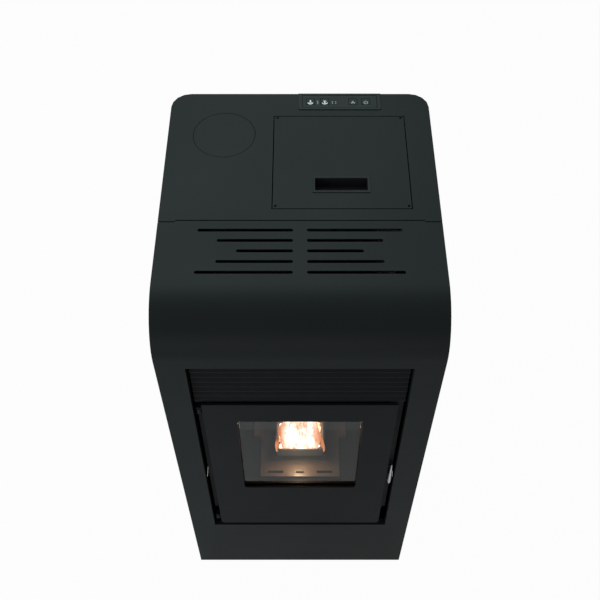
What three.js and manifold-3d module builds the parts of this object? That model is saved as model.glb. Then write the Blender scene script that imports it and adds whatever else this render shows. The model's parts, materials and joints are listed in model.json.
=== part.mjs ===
// Pellet stove, millimetres, +Z up, front towards -Y. Origin: middle of the footprint, at the floor.
import * as THREE from 'three';
import { mergeVertices } from 'three/addons/utils/BufferGeometryUtils.js';
import Module from 'manifold-3d';

const wasm = await Module();
wasm.setup();

// ---------- driving dimensions ----------

// casing
const casingWidth = 460;
const casingDepth = 514;
const casingHeight = 958.5;
const bulgeRadius = 88;
const rearCornerRadius = 34;
const sheet = 2;
const panelGap = 0.5;
const rearReturn = 10;
const seamFromFront = 213.2;
const seamGap = 2;
const seamTabStart = 202;
const seamTabDepth = 3;
const halfWidth = casingWidth / 2;
const frontY = -casingDepth / 2;
const rearY = casingDepth / 2;

// a place along the depth, as a share of it from the front
function fromFront(share) {
  return frontY + casingDepth * share;
}

// feet
const footHeight = 10;
const footRadius = 20;
const footStudRadius = 4;
const footStudLength = 22;
const footInset = 42;
const runningGap = 0.4;

// air slots in the front half of the top
const slotWidth = 6;
const slotInnerEnd = 11;
const slotOuterEnds = [164.5, 132.5, 101, 132.5, 164.5];
const slotFirstRow = 107.5;
const slotPitch = 21.3;

// opening in the front casing
const openingHalfWidth = 181.7;
const openingBottom = 211.9;
const openingTop = 848.2;
const openingReturn = 14.5;

// hopper lid and grip
const lidWidth = 228;
const lidLength = casingDepth * 0.4202;
const lidCentreX = casingWidth * 0.15;
const lidFrontY = fromFront(0.465);
const lidGap = 1.6;
const lidPanDepth = 7;
const lidPanInset = 20;
const lidPanRearClearance = 2.8;
const lidSealWidth = 6;
const lidSealHeight = 4;
const gripWidth = 96.5;
const gripLength = 36.5;
const gripRim = 4.5;
const gripProud = 1.2;
const gripDepth = 20;
const gripWall = 2;
const gripFromFront = 34.5;
const lidPinRadius = 1.8;
const lidPinInset = 4;
const lidPinDrop = 4.2;
const lidLugRadius = 3.6;
const lidHingeWidth = 11;

// knock-out disc for a top flue
const discRadius = 54.5;
const discX = -casingWidth * 0.287;
const discY = fromFront(0.7967);
const discGap = 0.6;

// control panel
const panelWidth = 148;
const panelLength = 41.8;
const panelCentreX = casingWidth * 0.15435;
const panelEdge = 0.2;
const panelProud = 1.5;
const panelBodyDepth = 22;
const panelRim = 2.4;
const fasciaHalfWidth = 66.5;
const fasciaHalfLength = 15.5;
const fasciaThickness = 3;
const fasciaDrop = 0.4;
const keyXs = [-52.3, -26.5, 24, 47].map((offset) => panelCentreX + offset);
const keyNames = ['key_less', 'key_more', 'key_menu', 'key_power'];
const keyHalfSize = 7.5;
const keyGap = 0.35;
const keyStemDepth = 9;
const keyTravel = 0.8;

// front surround with louvre
const surroundSetBack = 15;
const surroundHalfWidth = 177.2;
const surroundBottom = 277;
const surroundTop = 862;
const surroundTopHalfWidth = 196;
const louvreTopBar = 840;
const louvreShelf = 735.2;
const surroundSheet = 2;
const legInnerEdge = 163;
const louvreFirstEdge = 738.2;
const louvrePitch = 14.85;
const louvreCount = 7;
const louvreDepth = 10;
const louvreRise = 12;
const louvreBlade = 1.6;

// fire door
const doorHalfWidth = 166.3;
const doorBottom = 223.5;
const doorTop = 731.4;
const doorCornerRadius = 8;
const doorReturn = 4.5;
const windowHalfWidth = 108.7;
const windowBottom = 402;
const windowTop = 673;
const windowCornerRadius = 6;
const doorFrameHalfWidth = 152;
const doorFrameBottom = 236;
const doorFrameTop = 722;
const doorFrameDepth = 10.6;
const doorFrameOpeningHalfWidth = 110;
const doorFrameOpeningBottom = 396;
const doorFrameOpeningTop = 690;
const glassThickness = 4;
const glassSetBack = 7;
const glassLap = 6;
const glassGap = 0.5;
const retainerThickness = 1.6;
const deflectorHeight = 68;
const deflectorSheet = 1.5;
const sealWidth = 9;
const sealDepth = 3.8;
const sealInset = 3;
const hingeX = -172.3;
const hingeSetBack = 7;
const hingePinRadius = 3;
const hingeEyeRadius = 5;
const hingeEyeHeight = 14;
const hingeEndInset = 26;

// door lever and latch
const leverX = 175;
const leverWidth = 7;
const leverPivotZ = 484;
const leverLength = 74;
const leverDepth = 9;
const leverShaftSetBack = 8;
const leverShaftRadius = 3;
const latchThickness = 3;
const latchRadius = 5.4;
const latchReach = 8.2;
const keeperHeight = 10;

// firebox
const fireboxHalfWidth = 150;
const fireboxFrontSetBack = 17.6;
const fireboxDepth = casingDepth * 0.3405;
const fireboxBottom = 262;
const fireboxTop = 735;
const fireboxWall = 4;
const fireboxFlangeHalfWidth = 172;
const fireboxFlangeThickness = 3;
const fireboxMouthHalfWidth = 134;
const fireboxMouthBottom = 266;
const fireboxMouthTop = 706;
const hearthTop = 372;
const hearthThickness = 6;
const hearthLedge = 8;
const surroundBlockTop = 380;
const surroundBlockFrontY = fromFront(0.0661);
const surroundBlockHalfWidth = 80;
const surroundBlockWideHalfWidth = 95;
const surroundBlockStepY = fromFront(0.2412);
const surroundSlots = [[-66, -34], [-8, 8], [34, 66]];
const surroundSlotY = fromFront(0.0856);
const surroundSlotWidth = 5;
const potHalfWidth = 49;
const potFrontY = fromFront(0.144);
const potBackY = fromFront(0.3113);
const potTop = 420;
const potBottom = 345;
const potTaper = 8;
const potWall = 3;
const potCollar = 6;
const potCollarThickness = 3;
const potRimDip = 4;
const potHoleRadius = 3;
const liningThickness = 14;
const liningInset = 10;
const drawerHalfWidth = 120;
const drawerHeight = 66;
const drawerWall = 1.5;
const drawerFloorGap = 1;
const drawerPullHalfWidth = 30;
const drawerPullReach = 4;
const drawerPullDrop = 12;

// heat exchanger
const exchangerHalfWidth = 140;
const exchangerDepth = casingDepth * 0.2529;
const exchangerBehindMouth = 34;
const exchangerBottom = 740;
const exchangerHeight = 96;
const exchangerTubePitch = 44;
const exchangerTubeRise = 30;
const exchangerTubeEnd = 10;
const exchangerOutletRise = 57;
const exchangerOutletHeight = 33;
const exchangerWall = 3;
const exchangerTubeRadius = 19;
const exchangerTubeCount = 5;
const exchangerTubeWall = 2;
const smokeOutletHalfWidth = 100;
const smokeOutletLength = 50;
const smokeOutletFromRear = 10;

// hopper
const hopperWall = 1.5;
const hopperRim = 9;
const hopperRimInset = 3;
const hopperShoulder = 770;
const hopperOutletHalfWidth = 24;
const hopperOutletHalfLength = 30;
const hopperOutletZ = 600;
const grateBar = 4;
const grateDrop = 40;
const grateBars = 4;

// pellet feed
const augerAngle = 30;
const augerPivotY = fromFront(0.72957);
const augerPivotZ = 545;
const augerTubeRadius = 30;
const augerTubeWall = 2.5;
const augerTubeRear = 60;
const augerTubeFront = 150;
const augerScrewRadius = 24;
const augerShaftRadius = 7;
const augerPitch = 42;
const augerBlade = 3;
const gearmotorLength = 52;
const gearmotorHalfWidth = 30;
const dropBoxHalfWidth = 26;
const dropBoxRearY = fromFront(0.50778);
const dropBoxLength = 42;
const dropBoxTop = 622;
const dropBoxBottom = 574.4;
const chuteWall = 2;
const chuteReach = 92;
const chuteThroat = 49;
const igniterRadius = 5;
const igniterTail = 40;
const igniterFlange = 6;
const igniterZ = 392;

// exhaust side
const flueZ = 150;
const flueOuterRadius = 42;
const flueWall = 2;
const exhaustFrontY = fromFront(0.5389);
const exhaustDepth = 56;
const exhaustHalfHeight = 70;
const exhaustWall = 3;
const exhaustEyeRadius = 22;
const exhaustMotorRadius = 30;
const exhaustMotorGap = 2;
const exhaustSideMargin = 11;
const exhaustCornerRadius = 30;
const exhaustMotorLength = 52;
const impellerRadius = 46;
const impellerBlades = 8;
const impellerMargin = 17;
const impellerGap = 9;
const impellerDisc = 3;
const impellerBladeLength = 17;
const fanBlade = 2;
const fanShaftRadius = 4;
const fanShaftPlay = 0.5;
const fanShaftReach = 8;
const ductHalfWidth = 26;
const ductGap = 6;
const ductDepth = 40;
const ductWall = 2;
const ductRearY = fromFront(0.46887);
const ductBottom = 120;
const airInletX = casingWidth * 0.15217;
const exhaustMotorX = -dropBoxHalfWidth - ductGap - ductHalfWidth;
const flueX = exhaustMotorX - flueOuterRadius - exhaustMotorRadius - exhaustMotorGap;
const airInletZ = 300;
const airInletRadius = 25;
const airInletWall = 1.5;
const standWall = 3;
const standHalfWidth = 143;

// room air fan
const roomFanX = casingWidth * 0.22609;
const roomFanY = fromFront(0.73346);
const roomFanZ = 96;
const roomFanRadius = 62;
const roomFanHalfWidth = 68;
const roomFanWall = 2;
const roomFanMotorRadius = 26;
const roomFanMotorLength = 38;
const rotorRadius = 50;
const rotorBlades = 10;
const rotorSideGap = 12;
const rotorRing = 2;
const rotorRingDepth = 10;
const rotorBladeDepth = 7;
const ventRows = 5;
const ventPitch = 15;
const ventHeight = 6;
const ventLength = 50;
const ventFromFan = 25;

// electrics
const boardWidth = 130;
const boardHeight = 170;
const boardThickness = 1.6;
const boardFromSide = 18;
const boardX = halfWidth - boardFromSide;
const boardFrontY = fromFront(0.61673);
const boardBottom = 360;
const boardEdge = 10;
const transformerSize = 34;
const transformerHeight = 24;
const relayLength = 20;
const relayHeight = 16;
const relayPitch = 26;
const capacitorLength = 40;
const capacitorHeight = 12;
const terminalDepth = 14;
const terminalHeight = 11;
const inletX = casingWidth * 0.32609;
const inletZ = 70;
const inletHalfWidth = 24;
const inletHalfHeight = 14;
const switchFromInlet = 46;
const switchX = inletX - switchFromInlet;
const switchHalfWidth = 10;
const switchHalfHeight = 14;
const switchTilt = 10;
const inletLap = 3;
const inletPlate = 2;
const inletDepth = 22;
const socketDepth = 18;
const socketSideWall = 6;
const socketWall = 3;
const plugPinPitch = 9;
const plugPinHalf = 1;
const plugPinLength = 17;
const switchLap = 2.5;
const switchPlate = 1.2;
const switchDepth = 18;
const switchWellDepth = 12;
const switchWall = 1.5;

// ---------- worked-out places ----------

const seamY = frontY + seamFromFront;
const topUnderside = casingHeight - sheet;
const lidRearY = lidFrontY + lidLength;
const lidLeftX = lidCentreX - lidWidth / 2;
const lidRightX = lidCentreX + lidWidth / 2;
const panelCentreY = rearY - panelEdge - panelLength / 2;
const panelBodyHalfX = panelWidth / 2 - panelRim;
const panelBodyHalfY = panelLength / 2 - panelRim;
const backPanelRear = rearY - sheet - panelGap;
const backPanelFront = backPanelRear - sheet;
const surroundY = frontY + surroundSetBack;
const glassFrontY = frontY + glassSetBack;
const glassBackY = glassFrontY + glassThickness;
const doorFrameFrontY = frontY + sheet + panelGap;
const doorFrameBackY = doorFrameFrontY + doorFrameDepth;
const fireboxFrontY = frontY + fireboxFrontSetBack;
const fireboxBackY = fireboxFrontY + fireboxDepth;
const hingeY = frontY + hingeSetBack;
const leverShaftY = frontY + leverShaftSetBack;

// ---------- shape helpers ----------

const arcSteps = 2;
const bulgeSteps = 6;
const roundSteps = 16;

function solidOf(geometry) {
  geometry.deleteAttribute('normal');
  geometry.deleteAttribute('uv');
  const merged = mergeVertices(geometry, 1e-4);
  return new wasm.Manifold(new wasm.Mesh({
    numProp: 3,
    vertProperties: new Float32Array(merged.attributes.position.array),
    triVerts: new Uint32Array(merged.index.array),
  }));
}

function geometryOf(solid) {
  const mesh = solid.getMesh();
  const geometry = new THREE.BufferGeometry();
  geometry.setAttribute('position', new THREE.BufferAttribute(mesh.vertProperties, 3));
  geometry.setIndex(new THREE.BufferAttribute(mesh.triVerts, 1));
  geometry.computeVertexNormals();
  return geometry;
}

function box(x0, x1, y0, y1, z0, z1) {
  const geometry = new THREE.BoxGeometry(x1 - x0, y1 - y0, z1 - z0);
  return solidOf(geometry.translate((x0 + x1) / 2, (y0 + y1) / 2, (z0 + z1) / 2));
}

// a box from its middle in X and Y, its half sizes and its lowest and highest Z
function around(x, y, halfX, halfY, z0, z1) {
  return box(x - halfX, x + halfX, y - halfY, y + halfY, z0, z1);
}

// a box whose lower and upper ends are the rectangles [x0, x1, y0, y1]
function taperedBox(lower, upper, z0, z1) {
  const geometry = new THREE.BoxGeometry(1, 1, 1);
  const position = geometry.attributes.position;
  for (let i = 0; i < position.count; i += 1) {
    const end = position.getZ(i) > 0 ? upper : lower;
    position.setXYZ(
      i,
      position.getX(i) > 0 ? end[1] : end[0],
      position.getY(i) > 0 ? end[3] : end[2],
      position.getZ(i) > 0 ? z1 : z0,
    );
  }
  return solidOf(geometry);
}

function extrude(shape, depth, curveSegments) {
  return new THREE.ExtrudeGeometry(shape, { depth, bevelEnabled: false, curveSegments });
}

function extrudeZ(shape, z0, z1, steps = arcSteps) {
  return solidOf(extrude(shape, z1 - z0, steps).translate(0, 0, z0));
}

// the shape's x and y become Y and Z
function extrudeX(shape, x0, x1, steps = arcSteps) {
  const turn = new THREE.Matrix4().makeBasis(
    new THREE.Vector3(0, 1, 0),
    new THREE.Vector3(0, 0, 1),
    new THREE.Vector3(1, 0, 0),
  );
  return solidOf(extrude(shape, x1 - x0, steps).applyMatrix4(turn).translate(x0, 0, 0));
}

// the shape's x and y become X and Z
function extrudeY(shape, y0, y1, steps = arcSteps) {
  return solidOf(extrude(shape, y1 - y0, steps).rotateX(Math.PI / 2).translate(0, y1, 0));
}

// a round bar along 'x', 'y' or 'z' from a to b, through the point u, v of the other two axes in order
function rod(axis, a, b, u, v, radius, steps = roundSteps) {
  const geometry = new THREE.CylinderGeometry(radius, radius, b - a, steps);
  const middle = (a + b) / 2;
  if (axis === 'x') {
    geometry.rotateZ(Math.PI / 2).translate(middle, u, v);
  } else if (axis === 'y') {
    geometry.translate(u, middle, v);
  } else {
    geometry.rotateX(Math.PI / 2).translate(u, v, middle);
  }
  return solidOf(geometry);
}

function pipe(axis, a, b, u, v, radius, wall, steps = roundSteps) {
  return rod(axis, a, b, u, v, radius, steps).subtract(rod(axis, a - 1, b + 1, u, v, radius - wall, steps));
}

// a rounded rectangle; radii run from the corner at x0, y0 anticlockwise
function roundedRectangle(x0, x1, y0, y1, radii) {
  const [a, b, c, d] = radii;
  const shape = new THREE.Shape();
  shape.moveTo(x0 + a, y0);
  shape.lineTo(x1 - b, y0);
  if (b > 0) shape.absarc(x1 - b, y0 + b, b, -Math.PI / 2, 0, false);
  shape.lineTo(x1, y1 - c);
  if (c > 0) shape.absarc(x1 - c, y1 - c, c, 0, Math.PI / 2, false);
  shape.lineTo(x0 + d, y1);
  if (d > 0) shape.absarc(x0 + d, y1 - d, d, Math.PI / 2, Math.PI, false);
  shape.lineTo(x0, y0 + a);
  if (a > 0) shape.absarc(x0 + a, y0 + a, a, Math.PI, Math.PI * 1.5, false);
  return shape;
}

function union(solids) {
  return solids.reduce((whole, solid) => whole.add(solid));
}

function mirrorX(solid) {
  return solid.mirror([1, 0, 0]);
}

// ---------- materials ----------

function material(color, roughness, metalness, extra = {}) {
  return new THREE.MeshStandardMaterial({ color, roughness, metalness, ...extra });
}

const materials = {
  casing: material('#3a4242', 0.6, 0.3),
  doorPaint: material('#2c3233', 0.6, 0.3),
  blackSteel: material('#202224', 0.7, 0.4),
  castIron: material('#44464a', 0.75, 0.5),
  refractory: material('#8a7a6c', 0.95, 0),
  glass: material('#30363a', 0.1, 0, { transparent: true, opacity: 0.35 }),
  chrome: material('#c8cacc', 0.15, 1),
  zinc: material('#9ea2a4', 0.45, 0.9),
  aluminium: material('#b4b6b8', 0.5, 0.9),
  blackPlastic: material('#1a1c1e', 0.5, 0),
  gloss: material('#0b0c0e', 0.15, 0),
  rope: material('#3c3c3a', 1, 0),
  rubber: material('#171717', 0.9, 0),
  board: material('#1d4a35', 0.6, 0),
};

const stove = new THREE.Group();
stove.name = 'pellet_stove';
const casingGroup = new THREE.Group();
casingGroup.position.z = footHeight;
stove.add(casingGroup);

function addPart(name, solid, finish, parent = casingGroup) {
  const mesh = new THREE.Mesh(geometryOf(solid), materials[finish]);
  mesh.name = name;
  parent.add(mesh);
  return mesh;
}

// ---------- casing ----------

// side outline of the front sheet's outer face, moved inwards by an offset
function sideOutline(inset, backY) {
  const radius = bulgeRadius - inset;
  const shape = new THREE.Shape();
  shape.moveTo(frontY + inset, 0);
  shape.lineTo(backY, 0);
  shape.lineTo(backY, casingHeight - inset);
  shape.lineTo(frontY + bulgeRadius, casingHeight - inset);
  shape.absarc(frontY + bulgeRadius, casingHeight - bulgeRadius, radius, Math.PI / 2, Math.PI, false);
  shape.closePath();
  return shape;
}

function airSlots() {
  const slots = [];
  slotOuterEnds.forEach((outerEnd, row) => {
    const y = frontY + slotFirstRow + row * slotPitch;
    const half = slotWidth / 2;
    const end = slotOuterEnds[slotOuterEnds.length - 1 - row];
    const shape = roundedRectangle(slotInnerEnd, end, y - half, y + half, [half, half, half, half]);
    const slot = extrudeZ(shape, casingHeight - bulgeRadius / 2, casingHeight + 1);
    slots.push(slot, mirrorX(slot));
  });
  return union(slots);
}

function frontCasing() {
  const gapY = seamY - seamGap / 2;
  const outer = extrudeX(sideOutline(0, gapY), -halfWidth, halfWidth, bulgeSteps);
  const inner = extrudeX(sideOutline(sheet, gapY + 1), -halfWidth - 1, halfWidth + 1, bulgeSteps)
    .add(box(-halfWidth - 1, halfWidth + 1, frontY + sheet, gapY + 1, -1, sheet));
  const lip = box(
    -openingHalfWidth - sheet,
    openingHalfWidth + sheet,
    frontY,
    frontY + openingReturn,
    openingBottom - sheet,
    openingTop + sheet,
  );
  const opening = box(-openingHalfWidth, openingHalfWidth, frontY - 1, seamY, openingBottom, openingTop);
  const notch = box(seamTabStart, halfWidth + 1, gapY - seamTabDepth, gapY + 1, topUnderside - 1, casingHeight + 1);
  return outer.subtract(inner).add(lip).subtract(opening).subtract(airSlots())
    .subtract(notch).subtract(mirrorX(notch));
}

function sidePanel() {
  const front = frontY + sheet + panelGap;
  const plan = new THREE.Shape();
  const inner = halfWidth - sheet;
  const innerRadius = rearCornerRadius - sheet;
  const centreX = -halfWidth + rearCornerRadius;
  const centreY = rearY - rearCornerRadius;
  plan.moveTo(-halfWidth, front);
  plan.lineTo(-inner, front);
  plan.lineTo(-inner, centreY);
  plan.absarc(centreX, centreY, innerRadius, Math.PI, Math.PI / 2, true);
  plan.lineTo(centreX + rearReturn, rearY - sheet);
  plan.lineTo(centreX + rearReturn, rearY);
  plan.lineTo(centreX, rearY);
  plan.absarc(centreX, centreY, rearCornerRadius, Math.PI / 2, Math.PI, false);
  const wrap = extrudeZ(plan, 0, casingHeight);
  const limit = extrudeX(sideOutline(sheet + panelGap, rearY + 1), -halfWidth - 1, halfWidth + 1, bulgeSteps);
  return wrap.intersect(limit);
}

function topPlate() {
  const gapY = seamY + seamGap / 2;
  const corner = rearCornerRadius;
  const outline = roundedRectangle(-halfWidth, halfWidth, gapY, rearY, [0, 0, corner, corner]);
  const tab = box(seamTabStart, halfWidth, gapY - seamTabDepth, gapY + 1, topUnderside, casingHeight);
  const plate = extrudeZ(outline, topUnderside, casingHeight).add(tab).add(mirrorX(tab));
  const lidHole = box(
    lidLeftX - lidGap,
    lidRightX + lidGap,
    lidFrontY - lidGap,
    lidRearY + lidGap,
    topUnderside - 1,
    casingHeight + 1,
  );
  const discHole = rod('z', topUnderside - 1, casingHeight + 1, discX, discY, discRadius, 40);
  const panelHole = around(panelCentreX, panelCentreY, panelBodyHalfX + panelGap, panelBodyHalfY + panelGap,
    topUnderside - 1, casingHeight + 1);
  return plate.subtract(lidHole).subtract(discHole).subtract(panelHole);
}

function backPanel() {
  const half = halfWidth - rearCornerRadius;
  const plate = box(-half, half, backPanelFront, backPanelRear, 0, topUnderside - panelGap);
  const front = backPanelFront - 1;
  const rear = backPanelRear + 1;
  const fanSlots = [];
  for (let row = 0; row < ventRows; row += 1) {
    const z = roomFanZ + (row - (ventRows - 1) / 2) * ventPitch;
    fanSlots.push(box(roomFanX - ventFromFan - ventLength, roomFanX - ventFromFan, front, rear,
      z - ventHeight / 2, z + ventHeight / 2));
  }
  const panelRelief = box(
    panelCentreX - panelBodyHalfX - panelGap,
    panelCentreX + panelBodyHalfX + panelGap,
    front,
    rear,
    topUnderside - panelBodyDepth - panelGap,
    casingHeight,
  );
  return plate
    .subtract(rod('y', front, rear, flueX, flueZ, flueOuterRadius + panelGap, 28))
    .subtract(rod('y', front, rear, airInletX, airInletZ, airInletRadius + panelGap, 20))
    .subtract(box(inletX - inletHalfWidth, inletX + inletHalfWidth, front, rear,
      inletZ - inletHalfHeight, inletZ + inletHalfHeight))
    .subtract(box(switchX - switchHalfWidth, switchX + switchHalfWidth, front, rear,
      inletZ - switchHalfHeight, inletZ + switchHalfHeight))
    .subtract(panelRelief)
    .subtract(union(fanSlots));
}

const footPlaces = [
  ['foot_front_left', -1, -1],
  ['foot_front_right', 1, -1],
  ['foot_rear_left', -1, 1],
  ['foot_rear_right', 1, 1],
];

function footXY(sideX, sideY) {
  return [sideX * (halfWidth - footInset), sideY * (rearY - footInset)];
}

function basePlate() {
  const half = halfWidth - sheet - panelGap;
  const corner = rearCornerRadius - sheet - panelGap;
  const outline = roundedRectangle(-half, half, frontY + sheet + panelGap, backPanelRear, [0, 0, corner, corner]);
  let plate = extrudeZ(outline, 0, sheet)
    .subtract(box(-half, half, backPanelFront - panelGap, rearY, -1, sheet + 1));
  footPlaces.forEach(([, sideX, sideY]) => {
    const [x, y] = footXY(sideX, sideY);
    plate = plate.subtract(rod('z', -1, sheet + 1, x, y, footStudRadius + runningGap));
  });
  return plate;
}

// levelling foot: a pad, a jam nut and a stud that turns in the base plate
function foot() {
  const padHeight = footHeight * 0.55;
  const profile = [
    [0, -footHeight],
    [footRadius, -footHeight],
    [footRadius, -footHeight + padHeight * 0.5],
    [footRadius * 0.7, -footHeight + padHeight],
    [footStudRadius * 2, -footHeight + padHeight],
    [footStudRadius * 2, -runningGap],
    [footStudRadius, -runningGap],
    [footStudRadius, footStudLength],
    [0, footStudLength],
  ].map(([r, z]) => new THREE.Vector2(r, z));
  const geometry = new THREE.LatheGeometry(profile, 16).rotateX(Math.PI / 2);
  return solidOf(geometry);
}

function knockoutDisc() {
  return rod('z', topUnderside, casingHeight, discX, discY, discRadius - discGap, 40);
}

// ---------- control panel ----------

function controlBezel() {
  const cornerRadius = 4;
  const rim = roundedRectangle(
    panelCentreX - panelWidth / 2,
    panelCentreX + panelWidth / 2,
    panelCentreY - panelLength / 2,
    panelCentreY + panelLength / 2,
    [cornerRadius, cornerRadius, 0, 0],
  );
  const top = casingHeight + panelProud;
  const flange = extrudeZ(rim, casingHeight, top);
  const body = around(panelCentreX, panelCentreY, panelBodyHalfX, panelBodyHalfY,
    topUnderside - panelBodyDepth, casingHeight);
  const seat = around(panelCentreX, panelCentreY, fasciaHalfWidth + keyGap, fasciaHalfLength + keyGap,
    top - fasciaDrop - fasciaThickness, top + 1);
  const well = around(panelCentreX, panelCentreY, fasciaHalfWidth - panelRim, fasciaHalfLength - panelRim,
    topUnderside - panelBodyDepth - 1, casingHeight);
  return flange.add(body).subtract(seat).subtract(well);
}

function controlFascia() {
  const top = casingHeight + panelProud - fasciaDrop;
  let plate = around(panelCentreX, panelCentreY, fasciaHalfWidth, fasciaHalfLength, top - fasciaThickness + keyGap, top);
  keyXs.forEach((x) => {
    plate = plate.subtract(around(x, panelCentreY, keyHalfSize + keyGap, keyHalfSize + keyGap, top - 20, top + 1));
  });
  return plate;
}

function controlKey(x) {
  const top = casingHeight + panelProud - fasciaDrop;
  const cap = roundedRectangle(x - keyHalfSize, x + keyHalfSize, panelCentreY - keyHalfSize,
    panelCentreY + keyHalfSize, [2, 2, 2, 2]);
  const stem = rod('z', top - keyStemDepth, top - fasciaThickness, x, panelCentreY, keyHalfSize / 3, 8);
  return extrudeZ(cap, top - fasciaThickness, top).add(stem);
}

// ---------- hopper lid ----------

const gripFrontY = lidFrontY + gripFromFront;

function hopperLid() {
  const lid = box(lidLeftX, lidRightX, lidFrontY, lidRearY, topUnderside, casingHeight);
  const pan = box(lidLeftX + lidPanInset, lidRightX - lidPanInset, lidFrontY + lidPanInset,
    lidRearY - lidPanInset, topUnderside - lidPanDepth, topUnderside);
  const panInside = box(lidLeftX + lidPanInset + sheet, lidRightX - lidPanInset - sheet,
    lidFrontY + lidPanInset + sheet, lidRearY - lidPanInset - sheet,
    topUnderside - lidPanDepth - 1, topUnderside);
  const hole = around(lidCentreX, gripFrontY + gripLength / 2, gripWidth / 2 - gripRim + gripWall + runningGap,
    gripLength / 2 - gripRim + gripWall + runningGap, topUnderside - gripDepth, casingHeight + 1);
  const lugs = [lidLeftX + lidHingeWidth / 2, lidRightX - lidHingeWidth / 2].map((x) => {
    const y = lidRearY - lidPinInset;
    const z = casingHeight - lidPinDrop;
    return rod('x', x - lidHingeWidth / 2, x + lidHingeWidth / 2, y, z, lidLugRadius, 16)
      .subtract(rod('x', x - lidHingeWidth, x + lidHingeWidth, y, z, lidPinRadius + 0.2, 16));
  });
  const pinRelief = [lidLeftX, lidRightX].map((x) => rod('x', x - lidHingeWidth, x + lidHingeWidth,
    lidRearY - lidPinInset, casingHeight - lidPinDrop, lidPinRadius + 0.2, 16));
  return lid.add(pan.subtract(panInside)).add(union(lugs)).subtract(union(pinRelief)).subtract(hole);
}

function lidGrip() {
  const y = gripFrontY + gripLength / 2;
  const innerX = gripWidth / 2 - gripRim;
  const innerY = gripLength / 2 - gripRim;
  const rim = around(lidCentreX, y, gripWidth / 2, gripLength / 2, casingHeight, casingHeight + gripProud);
  const cup = around(lidCentreX, y, innerX + gripWall, innerY + gripWall,
    casingHeight - gripDepth - gripWall, casingHeight);
  const recess = around(lidCentreX, y, innerX, innerY, casingHeight - gripDepth, casingHeight + gripProud + 1);
  return rim.add(cup).subtract(recess);
}

function lidSeal() {
  const z0 = topUnderside - lidSealHeight;
  const inset = (lidPanInset - lidSealWidth) / 2 - 1;
  const outer = box(lidLeftX + inset, lidRightX - inset, lidFrontY + inset, lidRearY - inset - 4, z0, topUnderside - 0.1);
  const inner = box(lidLeftX + inset + lidSealWidth, lidRightX - inset - lidSealWidth,
    lidFrontY + inset + lidSealWidth, lidRearY - inset - 4 - lidSealWidth, z0 - 1, topUnderside + 1);
  return outer.subtract(inner);
}

// bracket under the rim of the lid opening, with the pin on which the lid turns
function lidHinge(side) {
  const y = lidRearY - lidPinInset;
  const z = casingHeight - lidPinDrop;
  const inner = side < 0 ? lidLeftX : lidRightX;
  const wallNear = inner + side * lidGap;
  const wallFar = inner + side * (lidGap + 3);
  const plate = box(Math.min(wallNear, wallFar), Math.max(wallNear, wallFar), y - 6, y + 10, z - 10, topUnderside - 0.2);
  const pinEnd = inner - side * lidHingeWidth;
  const pin = rod('x', Math.min(pinEnd, wallFar), Math.max(pinEnd, wallFar), y, z, lidPinRadius, 16);
  return plate.add(pin);
}

// ---------- front surround ----------

function frontSurround() {
  const backY = surroundY + surroundSheet;
  const frontEdgeY = surroundY - louvreDepth;
  const column = box(legInnerEdge, surroundHalfWidth, surroundY, backY, surroundBottom, surroundTop);
  const topBar = box(-surroundTopHalfWidth, surroundTopHalfWidth, surroundY, backY, louvreTopBar, surroundTop);
  const shelf = box(-surroundHalfWidth, surroundHalfWidth, frontEdgeY, backY, louvreShelf, louvreShelf + louvreBlade);
  let surround = column.add(mirrorX(column)).add(topBar).add(shelf);
  for (let blade = 0; blade < louvreCount; blade += 1) {
    const edge = louvreFirstEdge + blade * louvrePitch;
    const slat = new THREE.Shape();
    slat.moveTo(frontEdgeY, edge);
    slat.lineTo(surroundY + surroundSheet / 2, edge + louvreRise);
    slat.lineTo(surroundY + surroundSheet / 2, edge + louvreRise + louvreBlade);
    slat.lineTo(frontEdgeY, edge + louvreBlade);
    slat.closePath();
    surround = surround.add(extrudeX(slat, -surroundHalfWidth, surroundHalfWidth));
  }
  return surround;
}

// ---------- fire door ----------

function doorOutline(inset) {
  const corner = doorCornerRadius - inset;
  return roundedRectangle(-doorHalfWidth + inset, doorHalfWidth - inset, doorBottom + inset, doorTop - inset,
    [corner, corner, 0, 0]);
}

function windowOutline() {
  return roundedRectangle(-windowHalfWidth, windowHalfWidth, windowBottom, windowTop,
    [windowCornerRadius, windowCornerRadius, 0, 0]);
}

function doorPanel() {
  const rear = frontY + doorReturn;
  return extrudeY(doorOutline(0), frontY, rear)
    .subtract(extrudeY(doorOutline(sheet), frontY + sheet, rear + 1))
    .subtract(extrudeY(windowOutline(), frontY - 1, rear));
}

const hingeLevels = [
  ['lower', doorBottom + hingeEndInset],
  ['upper', doorTop - hingeEndInset],
];

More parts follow.
